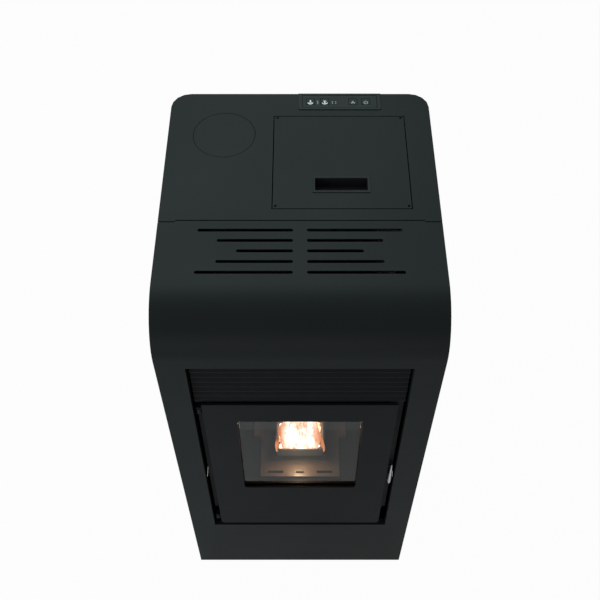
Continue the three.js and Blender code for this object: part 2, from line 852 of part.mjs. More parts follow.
function doorFrame() {
  const ring = box(-doorFrameHalfWidth, doorFrameHalfWidth, doorFrameFrontY, doorFrameBackY, doorFrameBottom, doorFrameTop);
  const opening = box(-doorFrameOpeningHalfWidth, doorFrameOpeningHalfWidth, frontY, surroundY + 5,
    doorFrameOpeningBottom, doorFrameOpeningTop);
  const lap = glassLap + glassGap;
  const rebate = box(-doorFrameOpeningHalfWidth - lap, doorFrameOpeningHalfWidth + lap, frontY, glassBackY + glassGap,
    doorFrameOpeningBottom - lap, doorFrameOpeningTop + lap);
  const shaftBore = rod('x', doorFrameHalfWidth - 24, doorFrameHalfWidth + 1, leverShaftY, leverPivotZ,
    leverShaftRadius + runningGap, 16);
  let frame = ring.subtract(opening).subtract(rebate).subtract(shaftBore);
  hingeLevels.forEach(([, z]) => {
    const eye = rod('z', z - hingeEyeHeight / 2, z + hingeEyeHeight / 2, hingeX, hingeY, hingeEyeRadius, 16);
    const arm = box(hingeX, -doorFrameHalfWidth + 1, hingeY - sheet, hingeY + sheet,
      z - hingeEyeHeight / 2, z + hingeEyeHeight / 2);
    const bore = rod('z', z - hingeEyeHeight, z + hingeEyeHeight, hingeX, hingeY, hingePinRadius + 0.25, 16);
    frame = frame.add(eye).add(arm).subtract(bore);
  });
  return frame;
}

function doorGlass() {
  return box(-doorFrameOpeningHalfWidth - glassLap, doorFrameOpeningHalfWidth + glassLap, glassFrontY, glassBackY,
    doorFrameOpeningBottom - glassLap, doorFrameOpeningTop + glassLap);
}

function glassRetainer() {
  const rear = glassFrontY - glassGap;
  const outer = box(-doorFrameOpeningHalfWidth - glassLap, doorFrameOpeningHalfWidth + glassLap,
    rear - retainerThickness, rear, doorFrameOpeningBottom - glassLap, doorFrameOpeningTop + glassLap);
  const inner = box(-doorFrameOpeningHalfWidth, doorFrameOpeningHalfWidth, frontY, rear + 1,
    doorFrameOpeningBottom, doorFrameOpeningTop);
  return outer.subtract(inner);
}

function airDeflector() {
  const rear = glassBackY + glassGap + deflectorSheet;
  const half = doorFrameOpeningHalfWidth - glassGap;
  return box(-half, half, rear - deflectorSheet, rear,
    doorFrameOpeningTop - glassGap - deflectorHeight, doorFrameOpeningTop - glassGap);
}

function doorSeal() {
  const front = doorFrameBackY + 0.3;
  const outer = box(-doorFrameHalfWidth + sealInset, doorFrameHalfWidth - sealInset, front, front + sealDepth,
    doorFrameBottom + sealInset, doorFrameTop - sealInset);
  const inset = sealInset + sealWidth;
  const inner = box(-doorFrameHalfWidth + inset, doorFrameHalfWidth - inset, front - 1, front + sealDepth + 1,
    doorFrameBottom + inset, doorFrameTop - inset);
  return outer.subtract(inner);
}

// bracket on the surround's leg: a plate with an ear above and below the door's hinge eye, and the
// pin riveted in both ears
function hingeBracket(z) {
  const near = hingeEyeHeight / 2 + runningGap;
  const far = near + 3;
  const plate = box(-surroundHalfWidth, -legInnerEdge, surroundY - 2.6, surroundY - 0.3, z - far, z + far);
  const ears = [[z - far, z - near], [z + near, z + far]].map(([z0, z1]) => (
    box(hingeX - 4.7, hingeX + 4.3, hingeY - 3.4, surroundY - 1, z0, z1)));
  const pin = rod('z', z - far, z + far, hingeX, hingeY, hingePinRadius, 16);
  return plate.add(union(ears)).add(pin);
}

// ---------- door lever and latch ----------

// a drop-shaped lever, narrow at the pivot and full at the grip, on the shaft that turns the latch cam
function doorLever() {
  const drop = new THREE.Shape();
  const top = leverPivotZ + 6;
  const bottom = leverPivotZ - leverLength;
  const front = frontY + 0.5;
  const grip = leverDepth;
  drop.moveTo(leverShaftY + 3.5, top);
  drop.quadraticCurveTo(front + 3, top - 4, front + 1.5, leverPivotZ - leverLength * 0.45);
  drop.quadraticCurveTo(front, bottom + 8, front + 1.5, bottom + 2);
  drop.quadraticCurveTo(front + grip / 2, bottom - 1, front + grip, bottom + 3);
  drop.quadraticCurveTo(front + grip + 1, bottom + leverLength * 0.4, leverShaftY + 3.8, leverPivotZ);
  drop.closePath();
  const shaft = rod('x', doorFrameHalfWidth - 20, leverX, leverShaftY, leverPivotZ, leverShaftRadius, 16);
  return extrudeX(drop, leverX - leverWidth / 2, leverX + leverWidth / 2).add(shaft);
}

const latchStart = doorFrameHalfWidth + 2.5;

function latchCam() {
  const end = latchStart + latchThickness;
  const bore = rod('x', latchStart - 1, end + 1, leverShaftY, leverPivotZ, leverShaftRadius + 0.1, 16);
  return rod('x', latchStart, end, leverShaftY, leverPivotZ, latchRadius, 16)
    .add(box(latchStart, end, leverShaftY, leverShaftY + latchReach, leverPivotZ - 2, leverPivotZ + 2))
    .subtract(bore);
}

function latchKeeper() {
  const base = leverPivotZ + latchRadius + 1;
  const rear = fireboxFrontY - 0.4;
  return box(latchStart - 1, legInnerEdge - 0.6, rear - 2, rear, leverPivotZ - keeperHeight * 2, base + keeperHeight)
    .subtract(box(latchStart - 2, latchStart + latchThickness + 1, rear - 3, rear + 1,
      leverPivotZ - keeperHeight * 1.4, base))
    .add(box(latchStart - 1, latchStart + latchThickness + 1, rear - 7, rear, base, base + 2));
}

// ---------- firebox ----------

// the chute runs down towards the front at 45 degrees; these give its floor and roof at a place y
function chuteFloor(y) {
  return dropBoxBottom - chuteThroat / 2 - 5 + (y - dropBoxRearY);
}

function chuteRoof(y) {
  return chuteFloor(y) + chuteThroat;
}

function chuteHole(y0, y1) {
  const half = dropBoxHalfWidth + panelGap;
  return box(-half, half, y0, y1, chuteFloor(y0) - 1, chuteRoof(y1) + 1);
}

function firebox() {
  const half = fireboxHalfWidth;
  const wall = fireboxWall;
  const shellFront = fireboxFrontY + fireboxFlangeThickness;
  const shell = box(-half, half, shellFront, fireboxBackY, fireboxBottom, fireboxTop);
  const room = box(-half + wall, half - wall, shellFront - 1, fireboxBackY - wall,
    fireboxBottom + wall, fireboxTop - wall);
  const flange = box(-fireboxFlangeHalfWidth, fireboxFlangeHalfWidth, fireboxFrontY, shellFront,
    fireboxBottom, fireboxTop);
  const mouth = box(-fireboxMouthHalfWidth, fireboxMouthHalfWidth, fireboxFrontY - 1, shellFront + 1,
    fireboxMouthBottom, fireboxMouthTop);
  const ledge = box(half - wall - hearthLedge, half - wall, shellFront + 20, fireboxBackY - wall,
    hearthTop - hearthThickness - 4, hearthTop - hearthThickness - runningGap);
  const wallFrom = fireboxBackY - wall - 1;
  const wallTo = fireboxBackY + 1;
  return shell.subtract(room).add(ledge).add(mirrorX(ledge)).add(flange).subtract(mouth)
    .subtract(smokeOutlet(fireboxTop - wall - 1, fireboxTop + 1))
    .subtract(chuteHole(wallFrom, wallTo))
    .subtract(rod('y', wallFrom, wallTo, 0, igniterZ, igniterRadius + 1, 16))
    .subtract(rod('y', wallFrom, wallTo, airInletX, airInletZ, airInletRadius - airInletWall, 24));
}

// the flue gases rise through this hole from the firebox to the heat exchanger
function smokeOutlet(z0, z1) {
  const rear = fireboxFrontY + exchangerBehindMouth + exchangerDepth - smokeOutletFromRear;
  return box(-smokeOutletHalfWidth, smokeOutletHalfWidth, rear - smokeOutletLength, rear, z0, z1);
}

function fireboxStand() {
  const inner = standHalfWidth - standWall;
  const front = fireboxFrontY + 10;
  const rear = fireboxBackY - 4;
  const bottom = sheet + runningGap;
  const top = fireboxBottom - runningGap;
  return box(-standHalfWidth, standHalfWidth, front, rear, bottom, top)
    .subtract(box(-inner, inner, front - 1, rear - standWall, bottom - 1, top + 1));
}

function potOpening(gap, z0, z1) {
  const side = potHalfWidth - potTaper / 2 + gap;
  const inset = potTaper / 2 - gap;
  return box(-side, side, potFrontY + inset, potBackY - inset, z0, z1);
}

function hearthPlate() {
  const half = fireboxHalfWidth - fireboxWall - panelGap;
  const front = fireboxFrontY + fireboxFlangeThickness + panelGap;
  const rear = fireboxBackY - fireboxWall - panelGap;
  return box(-half, half, front, rear, hearthTop - hearthThickness, hearthTop)
    .subtract(potOpening(1, hearthTop - hearthThickness - 1, hearthTop + 1));
}

// fireproof block round the burn pot, wider at the back, with three slots before the pot
function potSurround() {
  const bottom = hearthTop + runningGap;
  const rear = fireboxBackY - fireboxWall - liningThickness - 1;
  const narrow = box(-surroundBlockHalfWidth, surroundBlockHalfWidth, surroundBlockFrontY, rear,
    bottom, surroundBlockTop);
  const wide = box(-surroundBlockWideHalfWidth, surroundBlockWideHalfWidth, surroundBlockStepY, rear,
    bottom, surroundBlockTop);
  const slots = surroundSlots.map(([x0, x1]) => box(x0, x1, surroundSlotY - surroundSlotWidth / 2,
    surroundSlotY + surroundSlotWidth / 2, bottom - 1, surroundBlockTop + 1));
  return narrow.add(wide).subtract(potOpening(1, bottom - 1, surroundBlockTop + 1)).subtract(union(slots));
}

function burnPot() {
  const foot = [-potHalfWidth + potTaper, potHalfWidth - potTaper, potFrontY + potTaper, potBackY - potTaper];
  const rim = [-potHalfWidth, potHalfWidth, potFrontY, potBackY];
  const inner = (r) => [r[0] + potWall, r[1] - potWall, r[2] + potWall, r[3] - potWall];
  const outside = taperedBox(foot, rim, potBottom, potTop);
  const inside = taperedBox(inner(foot), inner(rim), potBottom + potWall, potTop + 0.01);
  const collar = box(-potHalfWidth - potCollar, potHalfWidth + potCollar, potFrontY - potCollar, potBackY + potCollar,
    surroundBlockTop + runningGap, surroundBlockTop + runningGap + potCollarThickness);
  const dipRadius = potHalfWidth * potHalfWidth / (2 * potRimDip);
  const dip = rod('y', potFrontY - 20, potFrontY + 20, 0, potTop - potRimDip + dipRadius, dipRadius, 160);
  let pot = outside.add(collar).subtract(inside).subtract(dip);
  for (let row = -1; row <= 1; row += 1) {
    for (let column = -1; column <= 1; column += 1) {
      const x = column * 22;
      const y = (potFrontY + potBackY) / 2 + row * 18;
      pot = pot.subtract(rod('z', potBottom - 1, potBottom + potWall + 1, x, y, potHoleRadius, 6));
    }
  }
  return pot.subtract(rod('y', potBackY - 14, potBackY + 1, 0, igniterZ, igniterRadius + 1, 12));
}

function liningPlate() {
  const rear = fireboxBackY - fireboxWall - panelGap;
  const front = rear - liningThickness;
  const half = fireboxHalfWidth - liningInset;
  return box(-half, half, front, rear, surroundBlockTop + 1, fireboxTop - fireboxWall - liningInset)
    .subtract(chuteHole(front - 1, rear + 1))
    .subtract(rod('y', front - 1, rear + 1, 0, igniterZ, igniterRadius + 1, 16));
}

function ashDrawer() {
  const front = fireboxFrontY + fireboxFlangeThickness + 1;
  const rear = fireboxBackY - fireboxWall - 6;
  const bottom = fireboxBottom + fireboxWall + drawerFloorGap;
  const top = bottom + drawerHeight;
  const wall = drawerWall;
  const pullZ = top - drawerPullDrop;
  const pull = box(-drawerPullHalfWidth, drawerPullHalfWidth, front - drawerPullReach, front + wall, pullZ, pullZ + wall);
  return box(-drawerHalfWidth, drawerHalfWidth, front, rear, bottom, top)
    .subtract(box(-drawerHalfWidth + wall, drawerHalfWidth - wall, front + wall, rear - wall, bottom + wall, top + 1))
    .add(pull);
}

// ---------- heat exchanger ----------

function heatExchanger() {
  const front = fireboxFrontY + exchangerBehindMouth;
  const rear = front + exchangerDepth;
  const bottom = exchangerBottom;
  const top = bottom + exchangerHeight;
  const half = exchangerHalfWidth;
  const wall = exchangerWall;
  const shell = box(-half, half, front, rear, bottom, top)
    .subtract(box(-half + wall, half - wall, front + wall, rear - wall, bottom + wall, top - wall))
    .subtract(smokeOutlet(bottom - 1, bottom + wall + 1))
    .subtract(box(exhaustMotorX - ductHalfWidth + ductWall, exhaustMotorX + ductHalfWidth - ductWall,
      rear - wall - 1, rear + 1, bottom + exchangerOutletRise + ductWall,
      bottom + exchangerOutletRise + exchangerOutletHeight - ductWall));
  const tubes = [];
  const bores = [];
  for (let index = 0; index < exchangerTubeCount; index += 1) {
    const x = (index - (exchangerTubeCount - 1) / 2) * exchangerTubePitch;
    const z = bottom + exchangerTubeRise;
    const from = front - exchangerTubeEnd;
    const to = rear + exchangerTubeEnd;
    tubes.push(rod('y', from, to, x, z, exchangerTubeRadius, 12));
    bores.push(rod('y', from - 1, to + 1, x, z, exchangerTubeRadius - exchangerTubeWall, 12));
  }
  return shell.add(union(tubes)).subtract(union(bores));
}

function smokeDuct() {
  const x0 = exhaustMotorX - ductHalfWidth;
  const x1 = exhaustMotorX + ductHalfWidth;
  const frontEnd = fireboxFrontY + exchangerBehindMouth + exchangerDepth + runningGap;
  const rearEnd = exhaustFrontY - runningGap;
  const riserFront = ductRearY - ductDepth;
  const stubBottom = exchangerBottom + exchangerOutletRise;
  const stubTop = stubBottom + exchangerOutletHeight;
  const footTop = flueZ + exhaustEyeRadius + 6;
  const passage = (inset, open) => union([
    box(x0 + inset, x1 - inset, riserFront + inset, ductRearY - inset, ductBottom + inset, stubTop - inset),
    box(x0 + inset, x1 - inset, frontEnd - open, riserFront + 10, stubBottom + inset, stubTop - inset),
    box(x0 + inset, x1 - inset, ductRearY - 10, rearEnd + open, ductBottom + inset, footTop - inset),
  ]);
  return passage(0, 0).subtract(passage(ductWall, 1));
}

// ---------- hopper ----------

const hopperMouth = [
  lidLeftX + hopperRimInset + hopperRim,
  lidRightX - hopperRimInset - hopperRim,
  lidFrontY + hopperRimInset + hopperRim,
  lidRearY - lidPanInset + lidPanRearClearance,
];
const hopperRimTop = topUnderside - lidSealHeight - 0.3;

function grown(rectangle, by) {
  return [rectangle[0] - by, rectangle[1] + by, rectangle[2] - by, rectangle[3] + by];
}

function rectangleBox(rectangle, z0, z1) {
  return box(rectangle[0], rectangle[1], rectangle[2], rectangle[3], z0, z1);
}

function hopperBin() {
  const outlet = [-hopperOutletHalfWidth, hopperOutletHalfWidth,
    augerPivotY - hopperOutletHalfLength, augerPivotY + hopperOutletHalfLength];
  const wall = hopperWall;
  const outside = rectangleBox(grown(hopperMouth, wall), hopperShoulder, hopperRimTop)
    .add(taperedBox(outlet, grown(hopperMouth, wall), hopperOutletZ, hopperShoulder))
    .add(rectangleBox(grown(hopperMouth, hopperRim), hopperRimTop - wall, hopperRimTop));
  const inside = rectangleBox(hopperMouth, hopperShoulder, hopperRimTop + 1)
    .add(taperedBox(grown(outlet, -wall), hopperMouth, hopperOutletZ - 0.01, hopperShoulder));
  return outside.subtract(inside);
}

function hopperGrate() {
  const rim = grown(hopperMouth, -panelGap);
  const inner = grown(rim, -grateBar);
  const top = hopperRimTop - grateDrop;
  const bars = [];
  const step = (inner[1] - inner[0]) / (grateBars + 1);
  for (let bar = 1; bar <= grateBars; bar += 1) {
    const x = inner[0] + bar * step;
    bars.push(box(x - grateBar / 2, x + grateBar / 2, inner[2] - 1, inner[3] + 1, top - grateBar, top));
  }
  const y = (inner[2] + inner[3]) / 2;
  bars.push(box(inner[0] - 1, inner[1] + 1, y - grateBar / 2, y + grateBar / 2, top - grateBar, top));
  return rectangleBox(rim, top - grateBar, top)
    .subtract(rectangleBox(inner, top - grateBar - 1, top + 1))
    .add(union(bars));
}

// ---------- pellet feed ----------

const augerTurn = 90 - augerAngle;

// from the auger's own frame, +Z along its axis towards the firebox, to the casing's frame
function alongAuger(solid) {
  return solid.rotate([augerTurn, 0, 0]).translate([0, augerPivotY, augerPivotZ]);
}

function augerTube() {
  const bore = augerTubeRadius - augerTubeWall;
  const tube = alongAuger(rod('z', -augerTubeRear, augerTubeFront, 0, 0, augerTubeRadius, 32));
  const hollow = alongAuger(rod('z', -augerTubeRear - 1, augerTubeFront - augerTubeWall, 0, 0, bore, 32));
  const neck = [-hopperOutletHalfWidth, hopperOutletHalfWidth,
    augerPivotY - hopperOutletHalfLength, augerPivotY + hopperOutletHalfLength];
  const neckTop = hopperOutletZ - runningGap;
  const drop = [-dropBoxHalfWidth, dropBoxHalfWidth, dropBoxRearY - dropBoxLength, dropBoxRearY];
  return tube
    .add(rectangleBox(neck, augerPivotZ, neckTop))
    .add(rectangleBox(drop, dropBoxBottom, dropBoxTop))
    .subtract(hollow)
    .subtract(rectangleBox(grown(neck, -augerTubeWall), augerPivotZ, neckTop + 1))
    .subtract(rectangleBox(grown(drop, -augerTubeWall), dropBoxBottom - 1, dropBoxTop - augerTubeWall));
}

// one blade wound round the shaft, as a closed strip of four-cornered sections
function augerBladeSolid(length) {
  const stepsPerTurn = 12;
  const steps = Math.round((length / augerPitch) * stepsPerTurn);
  const positions = [];
  const indices = [];
  for (let step = 0; step <= steps; step += 1) {
    const angle = (step / stepsPerTurn) * Math.PI * 2;
    const z = (step / stepsPerTurn) * augerPitch;
    const corners = [
      [augerShaftRadius - 1, z],
      [augerScrewRadius, z],
      [augerScrewRadius, z + augerBlade],
      [augerShaftRadius - 1, z + augerBlade],
    ];
    corners.forEach(([r, height]) => positions.push(r * Math.cos(angle), r * Math.sin(angle), height));
    if (step < steps) {
      for (let side = 0; side < 4; side += 1) {
        const a = step * 4 + side;
        const b = step * 4 + ((side + 1) % 4);
        indices.push(a, a + 4, b, b, a + 4, b + 4);
      }
    }
  }
  const last = steps * 4;
  indices.push(0, 1, 2, 0, 2, 3, last, last + 2, last + 1, last, last + 3, last + 2);
  const geometry = new THREE.BufferGeometry();
  geometry.setAttribute('position', new THREE.Float32BufferAttribute(positions, 3));
  geometry.setIndex(indices);
  return solidOf(geometry);
}

function augerScrew() {
  const from = -augerTubeRear + 4;
  const to = augerTubeFront - 16;
  const blade = augerBladeSolid(to - from - 8).translate([0, 0, from + 2]);
  return rod('z', -augerTubeRear - 7, to, 0, 0, augerShaftRadius, 16).add(blade);
}

function gearmotor() {
  const top = -augerTubeRear - panelGap;
  const half = gearmotorHalfWidth;
  const plate = box(-half - 4, half + 4, -half - 4, half + 4, top - 3, top);
  const gearbox = box(-half, half, -half, half, top - gearmotorLength * 0.45, top - 3);
  const motor = rod('z', top - gearmotorLength, top - gearmotorLength * 0.45, 0, 0, half * 0.85, 24);
  const bore = rod('z', top - 9, top + 1, 0, 0, augerShaftRadius + runningGap, 16);
  return plate.add(gearbox).add(motor).subtract(bore);
}

function pelletChute() {
  const rear = dropBoxRearY;
  const front = rear - dropBoxLength;
  const end = rear - chuteReach;
  const top = dropBoxBottom - runningGap;
  const profile = (wall, open) => {
    const lift = wall * Math.SQRT2;
    const shape = new THREE.Shape();
    shape.moveTo(front + wall, top + open);
    shape.lineTo(front + wall, chuteRoof(front + wall) - lift);
    shape.lineTo(end - open, chuteRoof(end - open) - lift);
    shape.lineTo(end - open, chuteFloor(end - open) + lift);
    shape.lineTo(rear - wall, chuteFloor(rear - wall) + lift);
    shape.lineTo(rear - wall, top + open);
    shape.closePath();
    return shape;
  };
  return extrudeX(profile(0, 0), -dropBoxHalfWidth, dropBoxHalfWidth)
    .subtract(extrudeX(profile(chuteWall, 1), -dropBoxHalfWidth + chuteWall, dropBoxHalfWidth - chuteWall));
}

function igniter() {
  const front = potBackY + potCollar + 1;
  const rear = fireboxBackY + igniterTail;
  return rod('y', front, rear, 0, igniterZ, igniterRadius, 16)
    .add(rod('y', fireboxBackY + runningGap, fireboxBackY + igniterFlange, 0, igniterZ, igniterRadius * 2.2, 16));
}

// ---------- exhaust side ----------

function exhaustHousing() {
  const x0 = flueX - flueOuterRadius - exhaustSideMargin;
  const x1 = exhaustMotorX + impellerRadius + impellerMargin;
  const rear = exhaustFrontY + exhaustDepth;
  const shape = (inset) => roundedRectangle(x0 + inset, x1 - inset, flueZ - exhaustHalfHeight + inset,
    flueZ + exhaustHalfHeight - inset, new Array(4).fill(exhaustCornerRadius - inset));
  const inside = exhaustFrontY + exhaustWall;
  return extrudeY(shape(0), exhaustFrontY, rear)
    .subtract(extrudeY(shape(exhaustWall), inside, rear - exhaustWall))
    .subtract(rod('y', exhaustFrontY - 1, inside + 1, exhaustMotorX, flueZ, exhaustEyeRadius, 20))
    .subtract(rod('y', rear - exhaustWall - 1, rear + 1, exhaustMotorX, flueZ, fanShaftRadius * 1.75, 12))
    .subtract(rod('y', rear - exhaustWall - 1, rear + 1, flueX, flueZ, flueOuterRadius - flueWall, 28));
}

function bladeRing(axis, count, innerRadius, outerRadius, from, to, centre) {
  const blades = [];
  for (let blade = 0; blade < count; blade += 1) {
    const angle = (360 / count) * blade;
    let solid = box(innerRadius, outerRadius, -fanBlade / 2, fanBlade / 2, from, to).rotate([0, 0, angle]);
    solid = axis === 'x' ? solid.rotate([0, 90, 0]) : solid.rotate([-90, 0, 0]);
    blades.push(solid.translate(centre));
  }
  return union(blades);
}

function exhaustImpeller() {
  const rear = exhaustFrontY + exhaustDepth;
  const discFrom = rear - exhaustWall - impellerGap;
  const bladeFrom = discFrom - impellerBladeLength;
  const centre = [exhaustMotorX, 0, flueZ];
  return rod('y', discFrom, discFrom + impellerDisc, exhaustMotorX, flueZ, impellerRadius, 28)
    .add(rod('y', bladeFrom - 1, rear + fanShaftReach, exhaustMotorX, flueZ, fanShaftRadius, 12))
    .add(bladeRing('y', impellerBlades, fanShaftRadius - 1, impellerRadius - fanBlade, bladeFrom, discFrom + 1, centre));
}

function exhaustMotor() {
  const front = exhaustFrontY + exhaustDepth + runningGap;
  return rod('y', front, front + exhaustMotorLength, exhaustMotorX, flueZ, exhaustMotorRadius, 28)
    .subtract(rod('y', front - 1, front + fanShaftReach * 1.75, exhaustMotorX, flueZ, fanShaftRadius + fanShaftPlay, 12));
}

function flueSocket() {
  const front = exhaustFrontY + exhaustDepth + runningGap;
  return pipe('y', front, rearY - runningGap, flueX, flueZ, flueOuterRadius, flueWall, 28);
}

function airInletPipe() {
  return pipe('y', fireboxBackY + runningGap, rearY - runningGap, airInletX, airInletZ,
    airInletRadius, airInletWall, 20);
}

// ---------- room air fan ----------

function roomFanHousing() {
  const x0 = roomFanX - roomFanHalfWidth;
  const x1 = roomFanX + roomFanHalfWidth;
  const scroll = (inset, open) => rod('x', x0 + inset, x1 - inset, roomFanY, roomFanZ, roomFanRadius - inset, 32)
    .add(box(x0 + inset, x1 - inset, roomFanY - roomFanRadius + inset, roomFanY - 8 - inset,
      roomFanZ, roomFanZ + roomFanRadius + 30 + open));
  return scroll(0, 0).subtract(scroll(roomFanWall, 1))
    .subtract(rod('x', x0 - 1, x0 + 5, roomFanY, roomFanZ, roomFanRadius * 0.5, 24))
    .add(rod('x', x1 - roomFanWall, x1 + roomFanMotorLength, roomFanY, roomFanZ, roomFanMotorRadius, 20))
    .subtract(rod('x', x1 - 5, x1 + fanShaftReach * 1.75, roomFanY, roomFanZ, fanShaftRadius + fanShaftPlay, 12));
}

function roomFanRotor() {
  const half = roomFanHalfWidth - rotorSideGap;
  const centre = [roomFanX, roomFanY, roomFanZ];
  const ring = (x0, x1) => rod('x', x0, x1, roomFanY, roomFanZ, rotorRadius, 20)
    .subtract(rod('x', x0 - 1, x1 + 1, roomFanY, roomFanZ, rotorRadius - rotorRingDepth, 20));
  return rod('x', roomFanX - 1.5, roomFanX + 1.5, roomFanY, roomFanZ, rotorRadius - 2.5, 20)
    .add(ring(roomFanX - half, roomFanX - half + rotorRing))
    .add(ring(roomFanX + half - rotorRing, roomFanX + half))
    .add(bladeRing('x', rotorBlades, rotorRadius - 1 - rotorBladeDepth, rotorRadius - 1, -half + 1, half - 1, centre))
    .add(rod('x', roomFanX - 3, roomFanX + roomFanHalfWidth + fanShaftReach, roomFanY, roomFanZ, fanShaftRadius, 12));
}

// ---------- electrics ----------

function controlBoard() {
  const top = boardBottom + boardHeight;
  const rear = boardFrontY + boardWidth;
  const first = boardFrontY + boardEdge;
  const low = boardBottom + boardEdge;
  const middle = boardBottom + boardHeight / 2;
  const upTo = (height) => boardX - height;
  const seat = boardX + boardThickness / 2;
  const relays = [1, 2].map((place) => {
    const y = first + transformerSize + place * relayPitch - relayLength;
    return box(upTo(relayHeight), seat, y, y + relayLength, low, low + relayHeight);
  });
  return box(boardX, boardX + boardThickness, boardFrontY, rear, boardBottom, top)
    .add(box(upTo(transformerHeight), seat, first, first + transformerSize, low, low + transformerSize))
    .add(union(relays))
    .add(box(upTo(capacitorHeight), seat, first, first + capacitorLength, middle - capacitorHeight, middle + capacitorHeight))
    .add(box(upTo(terminalHeight), seat, first, rear - boardEdge, top - boardEdge - terminalDepth, top - boardEdge));
}

function mainsInlet() {
  const seat = backPanelRear + 0.2;
  const outer = seat + inletPlate;
  const half = inletHalfWidth - runningGap;
  const height = inletHalfHeight - runningGap;
  const flange = box(inletX - inletHalfWidth - inletLap, inletX + inletHalfWidth + inletLap, seat, outer,
    inletZ - inletHalfHeight - inletLap, inletZ + inletHalfHeight + inletLap);
  const body = box(inletX - half, inletX + half, seat - inletDepth, seat + 1, inletZ - height, inletZ + height);
  const socket = box(inletX - half + socketSideWall, inletX + half - socketSideWall, seat - socketDepth, outer + 1,
    inletZ - height + socketWall, inletZ + height - socketWall);
  const pins = [-1, 0, 1].map((place) => {
    const x = inletX + place * plugPinPitch;
    return box(x - plugPinHalf, x + plugPinHalf, seat - socketDepth - 1, seat - socketDepth - 1 + plugPinLength,
      inletZ - plugPinHalf * 3, inletZ + plugPinHalf * 3);
  });
  return flange.add(body).subtract(socket).add(union(pins));
}

const rockerDepth = 5;
const rockerSetBack = 3;

function switchHousing() {
  const seat = backPanelRear + 0.2;
  const half = switchHalfWidth - runningGap;
  const height = switchHalfHeight - runningGap;
  const flange = box(switchX - switchHalfWidth - switchLap, switchX + switchHalfWidth + switchLap, seat, seat + switchPlate,
    inletZ - switchHalfHeight - switchLap, inletZ + switchHalfHeight + switchLap);
  const body = box(switchX - half, switchX + half, seat - switchDepth, seat + 0.5, inletZ - height, inletZ + height);
  const well = box(switchX - half + switchWall, switchX + half - switchWall, seat - switchWellDepth, seat + 2,
    inletZ - height + switchWall, inletZ + height - switchWall);
  return flange.add(body).subtract(well);
}

// inlet and switch share one front plate
function powerInlet() {
  const seat = backPanelRear + 0.2;
  const half = switchHalfHeight + switchLap;
  const bridge = box(switchX, inletX - inletHalfWidth, seat, seat + switchPlate, inletZ - half, inletZ + half)
    .subtract(box(switchX - 1, switchX + switchHalfWidth, seat - 1, seat + switchPlate + 1,
      inletZ - switchHalfHeight, inletZ + switchHalfHeight));
  return mainsInlet().add(switchHousing()).add(bridge);
}

// rocker about its own pivot, which the mesh is placed on
function rocker() {
  const width = switchHalfWidth - runningGap - 2;
  const reach = switchHalfHeight - runningGap - 3;
  const shape = new THREE.Shape();
  shape.moveTo(-rockerDepth, -reach * 0.45);
  shape.lineTo(rockerDepth * 0.62, -reach);
  shape.lineTo(rockerDepth * 0.36, 0);
  shape.lineTo(rockerDepth * 0.62, reach);
  shape.lineTo(-rockerDepth, reach * 0.45);
  shape.closePath();
  return extrudeX(shape, -width, width);
}

// ---------- assembly ----------

addPart('front_casing', frontCasing(), 'casing');
addPart('side_panel_left', sidePanel(), 'casing');
addPart('side_panel_right', mirrorX(sidePanel()), 'casing');
addPart('top_plate', topPlate(), 'casing');
addPart('back_panel', backPanel(), 'zinc');
addPart('base_plate', basePlate(), 'blackSteel');
addPart('knockout_disc', knockoutDisc(), 'casing');
footPlaces.forEach(([name, sideX, sideY]) => {
  const [x, y] = footXY(sideX, sideY);
  addPart(name, foot(), 'zinc').position.set(x, y, 0);
});

addPart('control_bezel', controlBezel(), 'blackPlastic');
addPart('control_fascia', controlFascia(), 'gloss');
keyXs.forEach((x, index) => addPart(keyNames[index], controlKey(x), 'gloss'));

addPart('hopper_lid', hopperLid(), 'casing');
addPart('lid_grip', lidGrip(), 'blackPlastic');
addPart('lid_seal', lidSeal(), 'rubber');
addPart('lid_hinge_left', lidHinge(-1), 'zinc');
addPart('lid_hinge_right', lidHinge(1), 'zinc');

addPart('front_surround', frontSurround(), 'blackSteel');
addPart('door_panel', doorPanel(), 'doorPaint');
addPart('door_frame', doorFrame(), 'castIron');
addPart('door_glass', doorGlass(), 'glass');
addPart('glass_retainer', glassRetainer(), 'blackSteel');
addPart('air_deflector', airDeflector(), 'glass');
addPart('door_seal', doorSeal(), 'rope');
hingeLevels.forEach(([name, z]) => {
  addPart(`hinge_bracket_${name}`, hingeBracket(z), 'blackSteel');
});
addPart('door_lever', doorLever(), 'chrome');
addPart('latch_cam', latchCam(), 'zinc');
addPart('latch_keeper', latchKeeper(), 'zinc');

addPart('firebox', firebox(), 'castIron');
addPart('firebox_stand', fireboxStand(), 'blackSteel');
addPart('hearth_plate', hearthPlate(), 'castIron');
addPart('pot_surround', potSurround(), 'refractory');
addPart('burn_pot', burnPot(), 'castIron');
addPart('lining_plate', liningPlate(), 'refractory');
addPart('ash_drawer', ashDrawer(), 'blackSteel');
addPart('heat_exchanger', heatExchanger(), 'blackSteel');
addPart('smoke_duct', smokeDuct(), 'blackSteel');

addPart('hopper_bin', hopperBin(), 'zinc');
addPart('hopper_grate', hopperGrate(), 'zinc');
addPart('auger_tube', augerTube(), 'zinc');
[['auger_screw', augerScrew(), 'zinc'], ['auger_gearmotor', gearmotor(), 'aluminium']].forEach(([name, solid, finish]) => {
  const mesh = addPart(name, solid, finish);
  mesh.position.set(0, augerPivotY, augerPivotZ);
  mesh.rotation.x = THREE.MathUtils.degToRad(augerTurn);
});
addPart('pellet_chute', pelletChute(), 'blackSteel');
addPart('igniter', igniter(), 'zinc');

